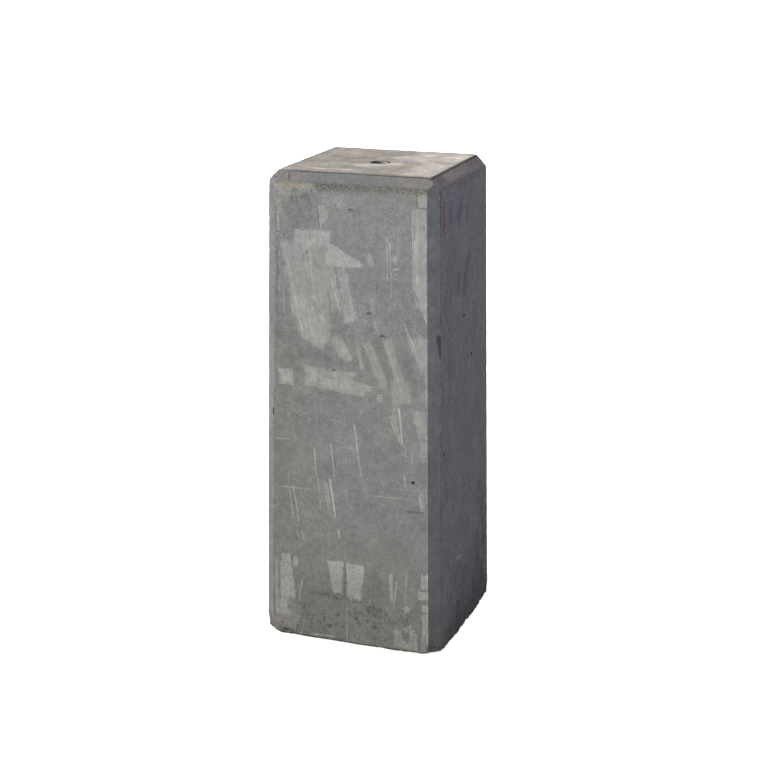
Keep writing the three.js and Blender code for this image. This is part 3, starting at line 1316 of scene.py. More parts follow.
WIPED_PATCH = Layer(
    tone=(1.45, 1.45, 1.415),
    wander=9.0,
    wander_size=16.0,
    ragged=0.60,
    lean=11,
    streak_width=2.8,
    streak_length=40,
    softness=0.26,
    patchy=0.22,
    patch_size=9,
    streaky=0.5,
    cover=0.6,
    marks=(
        Mark((-60, 433), (-20, 435), 17, 19, 1.05, 6, 6),
        Mark((-50, 432), (-38, 332), 50, 38, 0.84, 9, 14),
        Mark((-65, 428), (-60, 398), 9, 8, 0.85, 5, 8),
        Mark((-57, 412), (-44, 332), 13, 20, 0.98, 7, 8),
        Mark((-42, 378), (-30, 326), 20, 20, 1.0, 7, 8),
        Mark((-26, 420), (-14, 362), 12, 10, 0.95, 4, 8),
        Mark((-8, 394), (2, 352), 12, 16, 0.82, 6, 8),
        Mark((-52, 340), (-26, 328), 14, 16, 1.0, 6, 6),
        Mark((-16, 336), (-2, 312), 15, 12, 0.88, 5, 6),
        Mark((-24, 419), (14, 410), 26, 3, 1.15, 3, 3),
        Mark((-13, 404), (-1, 392), 15, 10, 0.85, 5, 5),
        Spot((16, 423), 7, 6, 0.9, 0.6),
    ),
)
SLANTING_SWIPES = Layer(
    tone=(1.40, 1.40, 1.36),
    wander=4.5,
    wander_size=14.0,
    ragged=0.42,
    lean=17,
    streak_width=1.7,
    streak_length=70,
    softness=0.24,
    patchy=0.18,
    patch_size=8,
    streaky=0.5,
    cover=0.6,
    marks=(
        Mark((17, 334), (38, 286), 11, 10, 0.84, 4, 8),
        Mark((40, 337), (59, 280), 8, 8, 0.95, 3, 5),
        Mark((36.5, 336), (56.5, 276), 2.6, 2.4, 1.2, 1, 4),
        Mark((23, 384), (29, 340), 8, 8, 0.62, 5, 12),
        Mark((69, 342), (81, 306), 15, 11, 0.9, 4, 6),
        Mark((8, 331), (14, 302), 6, 5, 0.66, 3, 8),
        Mark((58, 354), (67, 330), 4, 5, 0.62, 3, 8),
        Mark((47, 296), (50, 262), 8, 8, 0.86, 4, 6),
        Mark((45, 259), (57, 226), 9, 2, 0.9, 2, 3),
        Mark((75, 266), (81, 213), 13, 6, 0.95, 2.5, 4),
        Mark((58, 288), (59, 272), 13, 13, 0.9, 3, 3),
        Mark((80, 342), (84, 272), 6, 5, 0.95, 2, 6),
        Mark((78, 181), (79, 162), 6.5, 5.5, 0.62, 3, 4),
        Mark((18.5, 423), (24, 410), 7, 6, 1.0, 3, 3),
    ),
)
EDGE_BAND = Layer(
    tone=(1.46, 1.465, 1.41),
    wander=1.3,
    wander_size=7.0,
    ragged=0.5,
    lean=1,
    streak_width=1.0,
    streak_length=80,
    softness=0.22,
    streaky=0.5,
    cover=0.85,
    marks=(
        Mark((72.5, 471), (75, 388), 14, 12, 0.92, 2.5, 2),
        Mark((76, 470), (77, 388), 6, 6, 1.1, 3, 2),
        Mark((74, 392), (83, 354), 13, 1, 0.92, 2.5, 3),
        Mark((75.5, 486), (76, 472.5), 10, 9, 1.0, 1.5, 1.5),
        Mark((-30, 468), (-30.5, 445), 8, 1.4, 1.1, 1.5, 2),
        Mark((-25, 466), (-28, 450), 11, 4, 0.7, 5, 4),
    ),
)
HAND_BAND = Layer(
    tone=(1.53, 1.53, 1.47),
    wander=5.5,
    wander_size=12.0,
    ragged=0.55,
    lean=82,
    streak_width=2.2,
    streak_length=26,
    softness=0.22,
    patchy=0.15,
    patch_size=8,
    streaky=0.6,
    cover=0.75,
    marks=(
        Mark((-70, 297.5), (-69.5, 280), 17, 16, 1.05, 3, 3),
        Mark((-48, 289), (16, 279.5), 15, 10, 1.05, 2.2, 5),
        Mark((-50, 298), (6, 295), 9, 10, 0.85, 5, 8),
        Mark((-18, 293), (26, 284), 10, 6, 0.7, 4, 8),
        Mark((28, 276), (36, 276), 9, 9, 0.7, 4, 5),
    ),
)
FOOT_FILM = Layer(
    tone=(1.78, 1.79, 1.755),
    wander=3.0,
    wander_size=4.0,
    ragged=0.55,
    lean=0,
    streak_width=1.3,
    streak_length=24,
    softness=0.24,
    patchy=0.25,
    patch_size=3.5,
    streaky=0.35,
    cover=0.7,
    marks=(
        Mark((-16, 92.5), (-15, 78), 18, 15, 1.05, 1.3, 2),
        Mark((-15.5, 82), (-14, 56), 16, 9, 0.86, 2.4, 9),
        Mark((6, 91.5), (5.5, 76), 21, 17.5, 1.05, 1.3, 2),
        Mark((5.6, 80), (5.0, 50), 18.5, 15, 0.84, 2.6, 10),
        Mark((45, 87), (47, 54), 4.2, 3.3, 0.85, 1.4, 4),
        Mark((63, 90), (61.5, 54), 4, 4.5, 0.42, 1.8, 6),
        Mark((61, 52), (65, 47), 5, 10, 0.8, 2, 2),
        Mark((83, 91), (83, 74), 9.5, 10, 0.78, 2, 3),
        Mark((82, 72), (82, 62), 12, 12, 0.7, 2, 3),
        Mark((84, 57), (84, 48), 9, 9, 0.8, 1.5, 2),
        Mark((1, 46), (13, 47), 1.6, 1.6, 0.6, 1.2, 3),
        Mark((53, 26), (56, 6), 10, 12, 0.66, 3, 4),
        Mark((60, 24), (70, 32), 7, 4, 0.66, 3, 3),
        Mark((64, 16), (64, 4), 26, 26, 0.62, 5, 5),
        Mark((70, 28), (72, 8), 8, 10, 0.72, 3, 4),
        Mark((84, 48), (84, 4), 9, 9, 0.72, 2.5, 3),
    ),
)
SECOND_COAT = Layer(
    tone=(1.26, 1.26, 1.25),
    wander=6.0,
    wander_size=9.0,
    ragged=0.6,
    lean=16,
    streak_width=2.2,
    streak_length=18,
    softness=0.34,
    patchy=0.3,
    patch_size=6,
    streaky=0.4,
    marks=(
        Mark((-60, 435), (-20, 436), 15, 16, 0.62, 6, 8),
        Mark((-24, 419), (14, 410), 24, 3, 1.0, 3, 3),
        Mark((-52, 372), (-38, 330), 26, 22, 0.58, 8, 12),
        Mark((-32, 360), (-26, 326), 12, 12, 0.6, 6, 8),
        Mark((-32, 473), (-6, 474), 14, 13, 0.85, 7, 10),
        Mark((-70, 297), (-69, 281), 14, 13, 0.66, 4, 4),
        Mark((-44, 292), (10, 282), 12, 9, 0.55, 4, 6),
        Mark((38, 336), (56, 282), 4, 4, 0.6, 2, 5),
        Mark((-79, 476), (-76, 442), 4, 4, 0.55, 2, 8),
        Mark((-77, 428), (-75, 372), 4, 4, 0.5, 2, 8),
        Mark((-72, 66), (-70, 44), 14, 15, 0.5, 6, 8),
        Mark((40, 486), (74, 452), 10, 14, 0.3, 8, 10),
    ),
)
GRITTY_FILM = Layer(
    tone=(1.72, 1.75, 1.77),
    wander=2.4,
    wander_size=5.0,
    ragged=0.35,
    lean=0,
    streak_width=1.3,
    streak_length=12,
    softness=0.3,
    patchy=0.35,
    patch_size=2.0,
    cover=0.2,
    marks=(
        Mark((-72.2, 94), (-72, 84), 11, 11, 1.05, 1.4, 2),
        Mark((-72.5, 84), (-70, 44), 13, 17, 1.06, 4, 8),
        Mark((-61.2, 92), (-61, 80), 5.5, 5, 0.78, 1.6, 3),
        Mark((-78, 46), (-73, 22), 14, 16, 0.54, 8, 10),
        Mark((-83.4, 88), (-83, 25), 5, 5, 0.62, 2, 6),
    ),
)
SCRATCHES = Layer(
    tone=(1.85, 1.85, 1.80),
    wander=0.7,
    wander_size=5.0,
    ragged=0.55,
    lean=6,
    streak_width=0.8,
    streak_length=9,
    softness=0.5,
    cover=0.7,
    marks=(
        Mark((39, 440), (40, 398), 1.3, 1.1, 0.62),
        Mark((42, 435), (43, 402), 1.4, 1.2, 0.72),
        Mark((44, 406), (44, 381), 1.2, 0.9, 0.6),
        Mark((51, 453), (51, 419), 1.3, 1.0, 0.42),
        Mark((46, 421), (50, 415), 6.5, 3.3, 0.6, 3),
        Mark((46, 409), (53, 410), 1.5, 1.2, 0.68),
        Mark((58, 410), (61, 409), 1.4, 1.1, 0.5),
        Mark((65, 468), (67, 391), 1.2, 1.0, 0.72),
        Mark((67.5, 440), (68, 390), 1.2, 1.0, 0.55),
        Mark((70, 462), (71, 396), 1.0, 0.8, 0.5),
        Mark((68, 382), (82, 357), 1.2, 1.0, 0.62),
        Mark((58, 355), (68, 333), 1.4, 1.1, 0.5),
        Mark((-67, 413), (-48, 318), 1.3, 1.1, 0.46),
        Mark((-21, 397), (-9, 358), 1.3, 1.0, 0.46),
        Mark((-43, 422), (-38, 372), 1.3, 1.1, 0.45),
        Mark((-72, 383), (-70, 346), 1.2, 1.1, 0.5),
        Mark((53, 267), (57, 230), 1.8, 1.3, 1.1),
        Mark((58, 230), (60, 224), 1.3, 1.1, 0.8),
        Mark((55, 224), (63, 223), 1.0, 0.9, 0.6),
        Mark((55, 221), (63, 220), 1.0, 0.9, 0.6),
        Mark((57, 218), (63, 217), 1.0, 0.9, 0.65),
        Mark((5, 245), (9, 213), 1.3, 1.2, 0.95),
        Mark((9, 213), (13, 189), 1.2, 0.9, 0.8),
        Mark((-39, 215), (-37, 184), 1.4, 1.3, 0.85),
        Mark((-21, 222), (-17, 186), 1.3, 1.2, 0.85),
        Mark((-22, 183), (-16, 142), 3.0, 1.8, 0.85),
        Mark((-28, 181), (-23, 143), 1.3, 1.0, 0.6),
        Mark((-25, 179), (-21, 142), 1.2, 1.0, 0.6),
        Mark((-35, 183), (-32, 145), 1.3, 1.0, 0.45),
        Mark((-63, 171), (-57, 133), 1.4, 1.2, 0.85),
        Mark((-67, 165), (-63, 134), 1.2, 1.2, 0.7),
        Mark((-69, 192), (-68, 174), 1.1, 1.1, 0.5),
        Mark((-75, 169), (-43, 169), 1.1, 1.0, 0.68),
        Mark((-82, 221), (-67, 221), 1.4, 1.0, 0.66),
        Mark((22, 170), (63, 171), 1.0, 1.0, 0.66),
        Mark((-24, 219), (3, 219), 1.0, 1.0, 0.4),
        Mark((-5, 174), (-2, 155), 1.3, 1.0, 0.42),
        Mark((59, 196), (61, 183), 1.3, 1.1, 0.75),
        Mark((67, 222), (68, 211), 1.2, 1.0, 0.6),
        Mark((75, 176), (79, 159), 1.6, 1.3, 0.65),
        Mark((82, 184), (84, 169), 1.2, 1.0, 0.55),
        Mark((54, 181), (85, 182), 1.0, 1.0, 0.45),
        Mark((-54, 122), (-51, 112), 1.3, 1.1, 0.9),
        Mark((-13, 128), (-11, 119), 2.6, 1.6, 0.8),
        Mark((-60, 123), (-58, 116), 1.1, 1.1, 0.5),
        Mark((-54, 65), (-58, 41), 1.3, 1.1, 0.8),
        Mark((52, 80), (49, 48), 1.3, 1.1, 0.75),
        Mark((24, 73), (22, 47), 1.2, 1.0, 0.5),
        Mark((-4, 50), (-3, 4), 1.1, 1.1, 0.78),
        Mark((-52, 20), (-54, 8), 1.4, 1.1, 0.66),
        Mark((-43, 6), (-16, 7), 1.2, 1.7, 0.85),
        Mark((87, 57), (88, 8), 1.2, 1.2, 0.7),
        Spot((-83, 25), 2.0, 2.4, 0.9),
        Spot((-70, 5), 6, 1.8, 1.0),
        Spot((-56, 4.6), 5, 1.8, 0.9),
        Spot((-68, 11), 3, 2, 0.7),
        Spot((-62, 8), 3, 2, 0.6),
        Mark((-77, 455), (-76, 441), 1.6, 1.3, 0.66),
        Mark((-77, 390), (-76, 378), 1.4, 1.2, 0.66),
    ),
)
FINE_HAIRS = Layer(
    tone=(1.22, 1.22, 1.21),
    wander=1.0,
    wander_size=12.0,
    ragged=0.62,
    lean=8,
    streak_width=0.7,
    streak_length=24,
    softness=0.14,
    marks=(
        Mark((0, 120), (0, 470), 190, 190, 0.24, 4, 30),
        Mark((-50, 130), (-10, 240), 60, 60, 0.32, 14, 20),
        Mark((30, 300), (80, 220), 60, 50, 0.32, 14, 20),
    ),
)
GREY_PATCHES = Layer(
    tone=(0.84, 0.84, 0.835),
    wander=10.0,
    wander_size=18.0,
    ragged=0.5,
    lean=8,
    streak_width=4.0,
    streak_length=20,
    softness=0.3,
    patchy=0.3,
    patch_size=7,
    marks=(
        Mark((-60, 474), (-48, 446), 28, 26, 0.95, 12, 10),
        Mark((22, 372), (34, 318), 14, 12, 0.72, 8, 12),
        Mark((6, 346), (-16, 336), 22, 20, 0.62, 10, 12),
        Mark((-62, 318), (10, 306), 16, 10, 0.6, 8, 10),
        Mark((60, 322), (72, 280), 12, 10, 0.75, 6, 10),
        Mark((34, 318), (48, 284), 8, 7, 0.7, 4, 8),
        Mark((-60, 272), (-30, 262), 16, 16, 0.5, 8, 12),
        Mark((10, 470), (16, 420), 10, 8, 0.5, 6, 14),
        Mark((24, 92), (30, 58), 15, 17, 0.95, 6, 8),
        Mark((24, 452), (30, 392), 16, 14, 0.5, 8, 12),
        Mark((-47, 423), (-46, 411), 10, 9, 0.9, 5, 4),
        Mark((-37, 426), (-35, 404), 11, 9, 0.62, 6, 6),
    ),
)
DARK_LINES = Layer(
    tone=(0.6, 0.6, 0.58),
    wander=1.6,
    wander_size=4.0,
    ragged=0.5,
    lean=0,
    streak_width=1.2,
    streak_length=4,
    softness=0.42,
    marks=(
        Mark((-77.5, 440), (-78, 354), 2.2, 2.2, 0.5, 1.6, 12),
        Mark((-78, 354), (-79, 318), 2.2, 2.2, 0.36, 1.6, 12),
        Mark((61, 158), (81, 158), 2.7, 1.9, 0.8, 1.5, 3),
        Mark((4, 158), (24, 157), 4.0, 3.0, 0.32, 3, 6),
        Mark((-63, 473), (-60, 479), 1.4, 1.2, 0.95, 0.9, 2),
        Mark((-58, 479), (-55, 471), 1.4, 1.2, 0.95, 0.9, 2),
        Mark((-46, 480), (-40, 467), 1.4, 1.1, 0.95, 0.9, 2),
        Mark((72, 471), (81, 471), 1.1, 1.1, 1.0, 0.7, 1.5),
        Mark((69, 484), (70, 472), 1.4, 1.2, 0.6, 1, 2),
        Mark((-34, 466), (-32, 447), 1.3, 1.0, 0.85, 1, 3),
        Mark((-5, 92), (-6, 52), 1.4, 1.7, 0.8, 0.8, 3),
        Mark((-4.4, 48), (-4, 3), 0.9, 0.9, 0.62, 0.7, 3),
        Mark((-80.6, 470), (-87.0, 20), 1.5, 1.5, 0.7, 0.9, 6),
        Mark((79.4, 480), (87.0, 20), 0.8, 0.8, 0.42, 0.6, 6),
    ),
)
# Dark dots and specks, the small holes among them darkened with painted shade, and painted shadows along the
# upper rims of shallow pits (the arcs).
DOTS_AND_PIT_SHADOWS = Layer(
    tone=(0.42, 0.42, 0.41),
    wander=0.9,
    wander_size=2.0,
    marks=(
        Spot((-16, 469), 2.0, 1.8, 0.7),
        Spot((-46, 420), 3.4, 3.4, 0.8),
        Spot((-44, 415), 2.6, 2.0, 0.8),
        Spot((-49, 417), 2.6, 1.4, 0.6),
        Spot((-52, 397), 1.8, 1.8, 0.6),
        Spot((-3, 403), 1.3, 1.3, 0.8),
        Spot((-33, 434), 1.3, 1.3, 0.6),
        Spot((68, 405), 1.4, 1.6, 0.9),
        Spot((68, 397), 1.5, 1.8, 1.0),
        Spot((80, 413), 1.3, 1.3, 0.8),
        Spot((77, 452), 2.2, 5.0, 0.7),
        Spot((26, 408), 1.3, 1.3, 0.7),
        Spot((29, 389), 3.4, 1.6, 0.7),
        Spot((63, 386), 4.4, 1.2, 0.6),
        Spot((41, 290), 1.8, 1.8, 0.7),
        Spot((82, 236), 1.9, 2.6, 0.9),
        Spot((-23, 321), 1.3, 1.3, 0.8),
        Spot((-12, 319), 1.6, 1.6, 0.8),
        Spot((5, 64), 1.9, 1.9, 1.0),
        Spot((10, 71), 1.2, 1.2, 0.9),
        Spot((-18, 106), 1.8, 2.6, 0.6),
        Spot((41, 128), 1.3, 1.3, 0.7),
        Spot((58, 105), 1.3, 1.3, 0.7),
        Spot((0, 114), 1.8, 1.3, 0.6),
        Spot((-73, 7), 8, 5, 1.0),
        Spot((-66, 4), 5, 2.4, 1.0),
        Spot((-77, 14), 5, 4, 0.6),
        Spot((-50, 3), 10, 1.6, 0.9),
        Spot((-41, 482), 2.8, 2.4, 0.7),
        Spot((-55, 479), 4.4, 2.4, 0.5),
        # The arcs paint shadow along the upper rims of shallow pits.
        Arc((1, 464.6), 7.4, 5.4, 1.0),
        Arc((20.6, 361.8), 7.4, 4.2, 1.2),
        Arc((35, 339.6), 7.6, 4.6, 1.2),
        Arc((-17, 299.8), 5.6, 3.8, 1.2),
        Arc((-58, 479), 10.0, 12.0, 0.5),
        Arc((-48, 474), 9.0, 14.0, 0.45),
    ),
)
RIM_FRINGE = Layer(
    tone=(0.45, 0.445, 0.385),
    wander=5.0,
    wander_size=3.0,
    ragged=1.0,
    lean=20,
    streak_width=1.5,
    streak_length=2.0,
    softness=0.42,
    marks=(
        Mark((-36, 490), (84, 490), 4.0, 3.0, 0.95, 3, 4),
        Mark((-38, 487), (60, 486.5), 9, 7, 0.52, 7, 12),
        Mark((58, 487), (82, 485), 6, 8, 0.5, 5, 6),
        Mark((-84, 489), (-44, 489), 3, 2, 0.34, 2, 6),
        Mark((-79, 470), (-77, 380), 5, 4, 0.27, 3, 14),
    ),
)
CORNER_CRUST = Layer(
    tone=(1.26, 1.22, 1.16),
    wander=6.0,
    wander_size=7.0,
    ragged=0.6,
    lean=24,
    streak_width=2.4,
    streak_length=3.2,
    softness=0.42,
    marks=(
        Mark((-84, 488), (-38, 489), 13, 9, 0.95, 5, 8),
        Mark((-80, 480), (-48, 482), 12, 8, 0.8, 5, 8),
        Mark((-76, 478), (-75, 452), 9, 6, 0.7, 4, 10),
        Mark((-79, 452), (-77, 424), 4, 4, 0.66, 2, 8),
    ),
)
YELLOWING = Layer(
    tone=(1.16, 1.10, 0.90),
    wander=5.0,
    wander_size=4.0,
    ragged=0.95,
    lean=30,
    streak_width=1.8,
    streak_length=2.2,
    softness=0.34,
    marks=(
        Mark((-82, 488), (-40, 489), 9, 5, 0.7, 5, 8),
        Mark((-78, 476), (-77, 446), 6, 4, 0.34, 4, 12),
        Mark((27.6, 488), (31.5, 477), 2.6, 1.6, 1.1, 0.8, 1.5),
    ),
)
RUST = Layer(
    tone=(1.50, 1.06, 0.66),
    wander=2.2,
    wander_size=2.4,
    patchy=0.4,
    patch_size=1.6,
    marks=(
        Spot((-74, 334), 5.4, 4.4, 1.1, 0.7),
        Spot((-83, 11), 5, 6, 1.1, 0.7),
        Spot((-73, 12), 4, 3, 0.7, 0.8),
        Spot((28, 488), 2.0, 4.4, 1.0, 0.6),
        Spot((-57, 486), 4, 3, 0.7, 0.9),
        Spot((-50, 487), 4, 2.4, 0.6, 0.9),
        Spot((-68, 487), 4, 2.4, 0.4, 0.9),
    ),
)
FOOT_STROKES = Layer(
    tone=(0.64, 0.635, 0.64),
    wander=8.0,
    wander_size=8.0,
    ragged=0.85,
    lean=4,
    streak_width=3.2,
    streak_length=6.5,
    softness=0.34,
    marks=(
        Mark((-76, 8), (-56, 8), 14, 12, 0.32, 8, 6),
        Mark((-60, 22), (92, 24), 34, 44, 0.30, 16, 6),
        Mark((-46, 54), (16, 51), 10, 8, 0.52, 5, 8),
        Mark((18, 44), (42, 38), 16, 14, 0.56, 7, 6),
        Spot((-50, 28), 14, 22, 0.74, 0.8),
        Spot((-24, 20), 12, 16, 0.80, 0.8),
        Spot((7, 37), 14, 20, 0.72, 0.8),
        Spot((13, 24), 10, 16, 0.78, 0.8),
        Spot((30, 27), 18, 16, 0.74, 0.8),
        Spot((78, 60), 12, 5, 0.7, 0.8),
        Spot((-68, 36), 12, 12, 0.5, 0.8),
    ),
)
FOOT_DABS = Layer(
    tone=(0.62, 0.61, 0.625),
    wander=2.4,
    wander_size=3.5,
    ragged=0.5,
    lean=3,
    streak_width=1.5,
    streak_length=5,
    softness=0.36,
    marks=(
        Spot((-44, 22), 2.4, 9, 1.0, 0.8),
        Spot((-33, 20), 2.4, 8, 0.9, 0.8),
        Spot((-21, 19), 5, 6, 1.0, 0.8),
        Spot((-13, 33), 5, 10, 0.9, 0.8),
        Spot((-8, 19), 3.4, 9, 0.8, 0.8),
        Spot((-30, 53), 20, 6, 0.7, 0.8),
        Spot((-51, 36), 6, 4, 0.8, 0.8),
        Spot((-36, 47), 7, 4, 0.7, 0.8),
        Spot((-14, 50), 12, 5, 0.7, 0.8),
        Spot((-69, 33), 10, 7, 0.8, 0.8),
        Spot((-59, 14), 4, 3, 0.9, 0.8),
        Spot((20, 30), 6, 8, 1.0, 0.8),
        Spot((28, 24), 10, 8, 0.9, 0.8),
        Spot((33.4, 21), 2.4, 9, 1.0, 0.8),
        Spot((7, 31), 7, 8, 0.9, 0.8),
        Spot((-1, 37), 8, 4, 0.7, 0.8),
        Spot((25, 46), 10, 5, 0.8, 0.8),
        Spot((22, 66), 8, 7, 0.5, 0.8),
        Spot((57, 41), 3, 8, 0.8, 0.8),
        Spot((64, 38), 3, 10, 0.8, 0.8),
        Spot((72, 25), 5, 4, 0.8, 0.8),
        Spot((82, 48), 12, 2.4, 0.8, 0.8),
    ),
)
FOOT_SAND = Layer(
    tone=(1.46, 1.46, 1.43),
    wander=3.0,
    wander_size=5.0,
    ragged=0.95,
    lean=0,
    streak_width=1.3,
    streak_length=1.7,
    softness=0.22,
    marks=(
        Mark((-92, 20), (92, 22), 40, 46, 0.30, 16, 6),
        Mark((-84, 30), (-56, 20), 40, 30, 0.58, 10, 8),
        Mark((-88, 100), (-50, 108), 10, 8, 0.36, 5, 8),
    ),
)
# Painted shadow: a dark line along the foot of the front, standing in for the shade in the gap under the
# lifted foot edge.
FOOT_GAP_PAINTED_SHADOW = Layer(
    tone=(0.34, 0.33, 0.31),
    wander=1.6,
    wander_size=7.0,
    ragged=0.45,
    lean=0,
    streak_width=6,
    streak_length=1.2,
    softness=0.34,
    marks=(
        Mark((-84, 3.4), (88, 3.0), 1.6, 1.6, 0.9, 1.2, 3),
        Mark((-80, 6), (-62, 6), 4, 3, 0.5, 2, 3),
        Mark((-20, 5.4), (-5, 5), 2.6, 2.6, 0.5, 2, 3),
    ),
)
DAMP_LEFT = Layer(
    tone=(0.93, 0.925, 0.89),
    wander=16.0,
    wander_size=34.0,
    marks=(
        Mark((-76, 330), (-70, 50), 44, 40, 1.0, 34, 50),
        Mark((-80, 470), (-80, 300), 8, 8, 0.7, 10, 30),
        Mark((80, 260), (86, 60), 8, 8, 0.5, 10, 30),
    ),
)
# A pale line along the front's right edge: partly wear with small chips, partly a painted highlight along
# the edge.
WORN_EDGE_AND_HIGHLIGHT = Layer(
    tone=(1.3, 1.31, 1.26),
    wander=0.6,
    wander_size=3.0,
    ragged=0.6,
    lean=0,
    streak_width=1.2,
    streak_length=6,
    softness=0.4,
    marks=(Mark((79.7, 486), (87.2, 6), 1.8, 1.8, 0.72, 0.8, 3),),
)

# Marks of the right side, in millimetres back from its middle and above the ground

RIGHT_STAINS = Layer(
    tone=(0.66, 0.65, 0.69),
    wander=12.0,
    wander_size=7.0,
    ragged=0.85,
    lean=-4,
    streak_width=4.0,
    streak_length=7,
    softness=0.40,
    patchy=0.3,
    patch_size=5,
    marks=(
        Mark((-50, 466), (-49, 450), 10, 9, 0.8, 6, 6),
        Mark((-10, 470), (-24, 446), 14, 16, 0.85, 8, 6),
        Mark((8, 458), (9, 438), 12, 12, 0.7, 7, 8),
        Mark((20, 408), (2, 392), 14, 14, 0.78, 8, 8),
        Mark((4, 392), (-4, 366), 15, 14, 0.86, 8, 8),
        Mark((-22, 394), (-23, 372), 12, 12, 0.78, 7, 8),
        Mark((36, 406), (40, 384), 12, 12, 0.4, 7, 8),
        Mark((-71, 478), (-70, 442), 9, 7, 0.8, 5, 6),
        Mark((-30, 484), (60, 484), 8, 8, 0.5, 5, 8),
        Mark((-60, 420), (-50, 250), 30, 26, 0.30, 20, 40),
        Mark((0, 250), (6, 190), 24, 24, 0.30, 18, 30),
    ),
)
RIGHT_BLUE = Layer(
    tone=(0.91, 0.95, 1.10),
    wander=9.0,
    wander_size=20.0,
    patchy=0.3,
    marks=(
        Mark((-46, 484), (-36, 440), 26, 20, 0.8, 14, 16),
        Mark((16, 474), (22, 436), 20, 18, 0.7, 14, 12),
        Mark((-26, 420), (-18, 376), 22, 22, 0.75, 16, 16),
        Mark((-66, 120), (-60, 84), 22, 22, 0.8, 14, 16),
        Mark((-66, 70), (-62, 44), 14, 14, 0.5, 10, 12),
    ),
)
MOULD_STREAKS = Layer(
    tone=(0.86, 0.855, 0.86),
    wander=1.2,
    wander_size=14.0,
    ragged=0.9,
    lean=0,
    streak_width=1.5,
    streak_length=120,
    softness=0.5,
    marks=(Mark((0, -20), (0, 520), 220, 220, 0.30, 4, 4),),
)
MOULD_SHINE = Layer(
    tone=(1.13, 1.12, 1.13),
    wander=1.2,
    wander_size=14.0,
    ragged=0.9,
    lean=1,
    streak_width=2.6,
    streak_length=90,
    softness=0.5,
    marks=(
        Mark((0, -20), (0, 520), 220, 220, 0.26, 4, 4),
        Mark((60, 190), (10, 120), 26, 30, 0.42, 16, 20),
        Mark((23, 140), (23, 20), 5, 5, 0.75, 3, 16),
        Mark((-45, 100), (-45, 20), 8, 6, 0.5, 5, 16),
        Mark((-78, 60), (-80, 8), 12, 12, 0.62, 6, 10),
    ),
)
# Dark streaks low on the right side; the thin band along its very foot is painted shade.
LOW_STREAKS_AND_FOOT_SHADE = Layer(
    tone=(0.59, 0.58, 0.61),
    wander=8.0,
    wander_size=9.0,
    ragged=0.9,
    lean=-5,
    streak_width=4.2,
    streak_length=17,
    softness=0.4,
    marks=(
        Mark((45, 90), (48, 30), 8, 9, 0.74, 5, 10),
        Mark((62, 48), (63, 18), 12, 14, 0.86, 7, 8),
        Mark((30, 36), (31, 18), 14, 12, 0.84, 7, 6),
        Mark((-29, 36), (-30, 12), 14, 14, 0.88, 7, 6),
        Mark((-6, 66), (-8, 44), 9, 9, 0.6, 6, 8),
        Mark((56, 150), (78, 60), 24, 30, 0.5, 16, 18),
        Mark((-60, 50), (70, 50), 70, 80, 0.30, 26, 20),
        Mark((-86, 12), (86, 12), 24, 26, 0.5, 12, 4),
        # Painted shade along the very foot, in the gap under it.
        Mark((-86, 2), (86, 2), 5, 5, 0.7, 4, 4),
    ),
)
RIGHT_FLECKS = Layer(
    tone=(1.5, 1.49, 1.5),
    wander=1.6,
    wander_size=3.0,
    ragged=0.3,
    streak_width=1.5,
    streak_length=5,
    softness=0.45,
    marks=(
        Mark((36, 206), (32, 192), 2.6, 1.6, 0.6, 2, 4),
        Mark((-20, 175), (-25, 164), 3.2, 1.2, 0.85, 1.6, 3),
        Mark((-34, 87), (-13, 82), 6, 4, 0.85, 3, 5),
        Spot((-25, 78), 14, 9, 0.62, 0.9),
        Mark((-60, 64), (-57, 54), 3.0, 1.6, 0.75, 1.6, 3),
        Mark((-76, 62), (-76, 50), 2.4, 1.6, 0.62, 1.6, 3),
        Mark((-78, 108), (-78, 96), 2.0, 1.4, 0.55, 1.4, 3),
        Mark((-76, 224), (-74, 222), 1.6, 1.2, 0.6, 1.2, 2),
        Mark((-76, 206), (-70, 200), 1.8, 1.0, 0.6, 1.2, 2),
    ),
)
# Dark lines along the right side's borders, and painted shadows at the upper rims of its pits.
RIGHT_BORDER_AND_PIT_SHADOWS = Layer(
    tone=(0.58, 0.575, 0.60),
    wander=1.4,
    wander_size=5.0,
    ragged=0.7,
    streak_width=1.2,
    streak_length=8,
    softness=0.4,
    marks=(
        Mark((-79.3, 488), (-80.6, 430), 3.0, 2.4, 0.62, 1.5, 4),
        Mark((-73, 478), (-75, 440), 1.8, 1.4, 0.5, 1.2, 4),
        Mark((-80.6, 430), (-87.3, 6), 1.4, 1.4, 0.56, 1, 4),
        Mark((79.7, 488), (87.3, 6), 1.6, 1.6, 0.5, 1.2, 4),
        Mark((-80, 488.6), (80, 488.6), 1.8, 1.8, 0.7, 1.2, 4),
        # Painted shadows along the upper rims of the side's pits.
        Arc((-5, 346), 6.0, 4.0, 0.8),
        Arc((24, 298), 6.0, 4.0, 0.8),
        Arc((-75, 217), 6.0, 3.4, 0.7),
    ),
)
RIGHT_BLUSH = Layer(
    tone=(1.16, 1.05, 1.09),
    wander=3.0,
    wander_size=12.0,
    marks=(
        Mark((80, 250), (83, 150), 7, 7, 0.8, 6, 20),
        Mark((72, 236), (73, 204), 3, 3, 0.5, 3, 10),
    ),
)

# Marks of the back and left sides, plainer ones in keeping

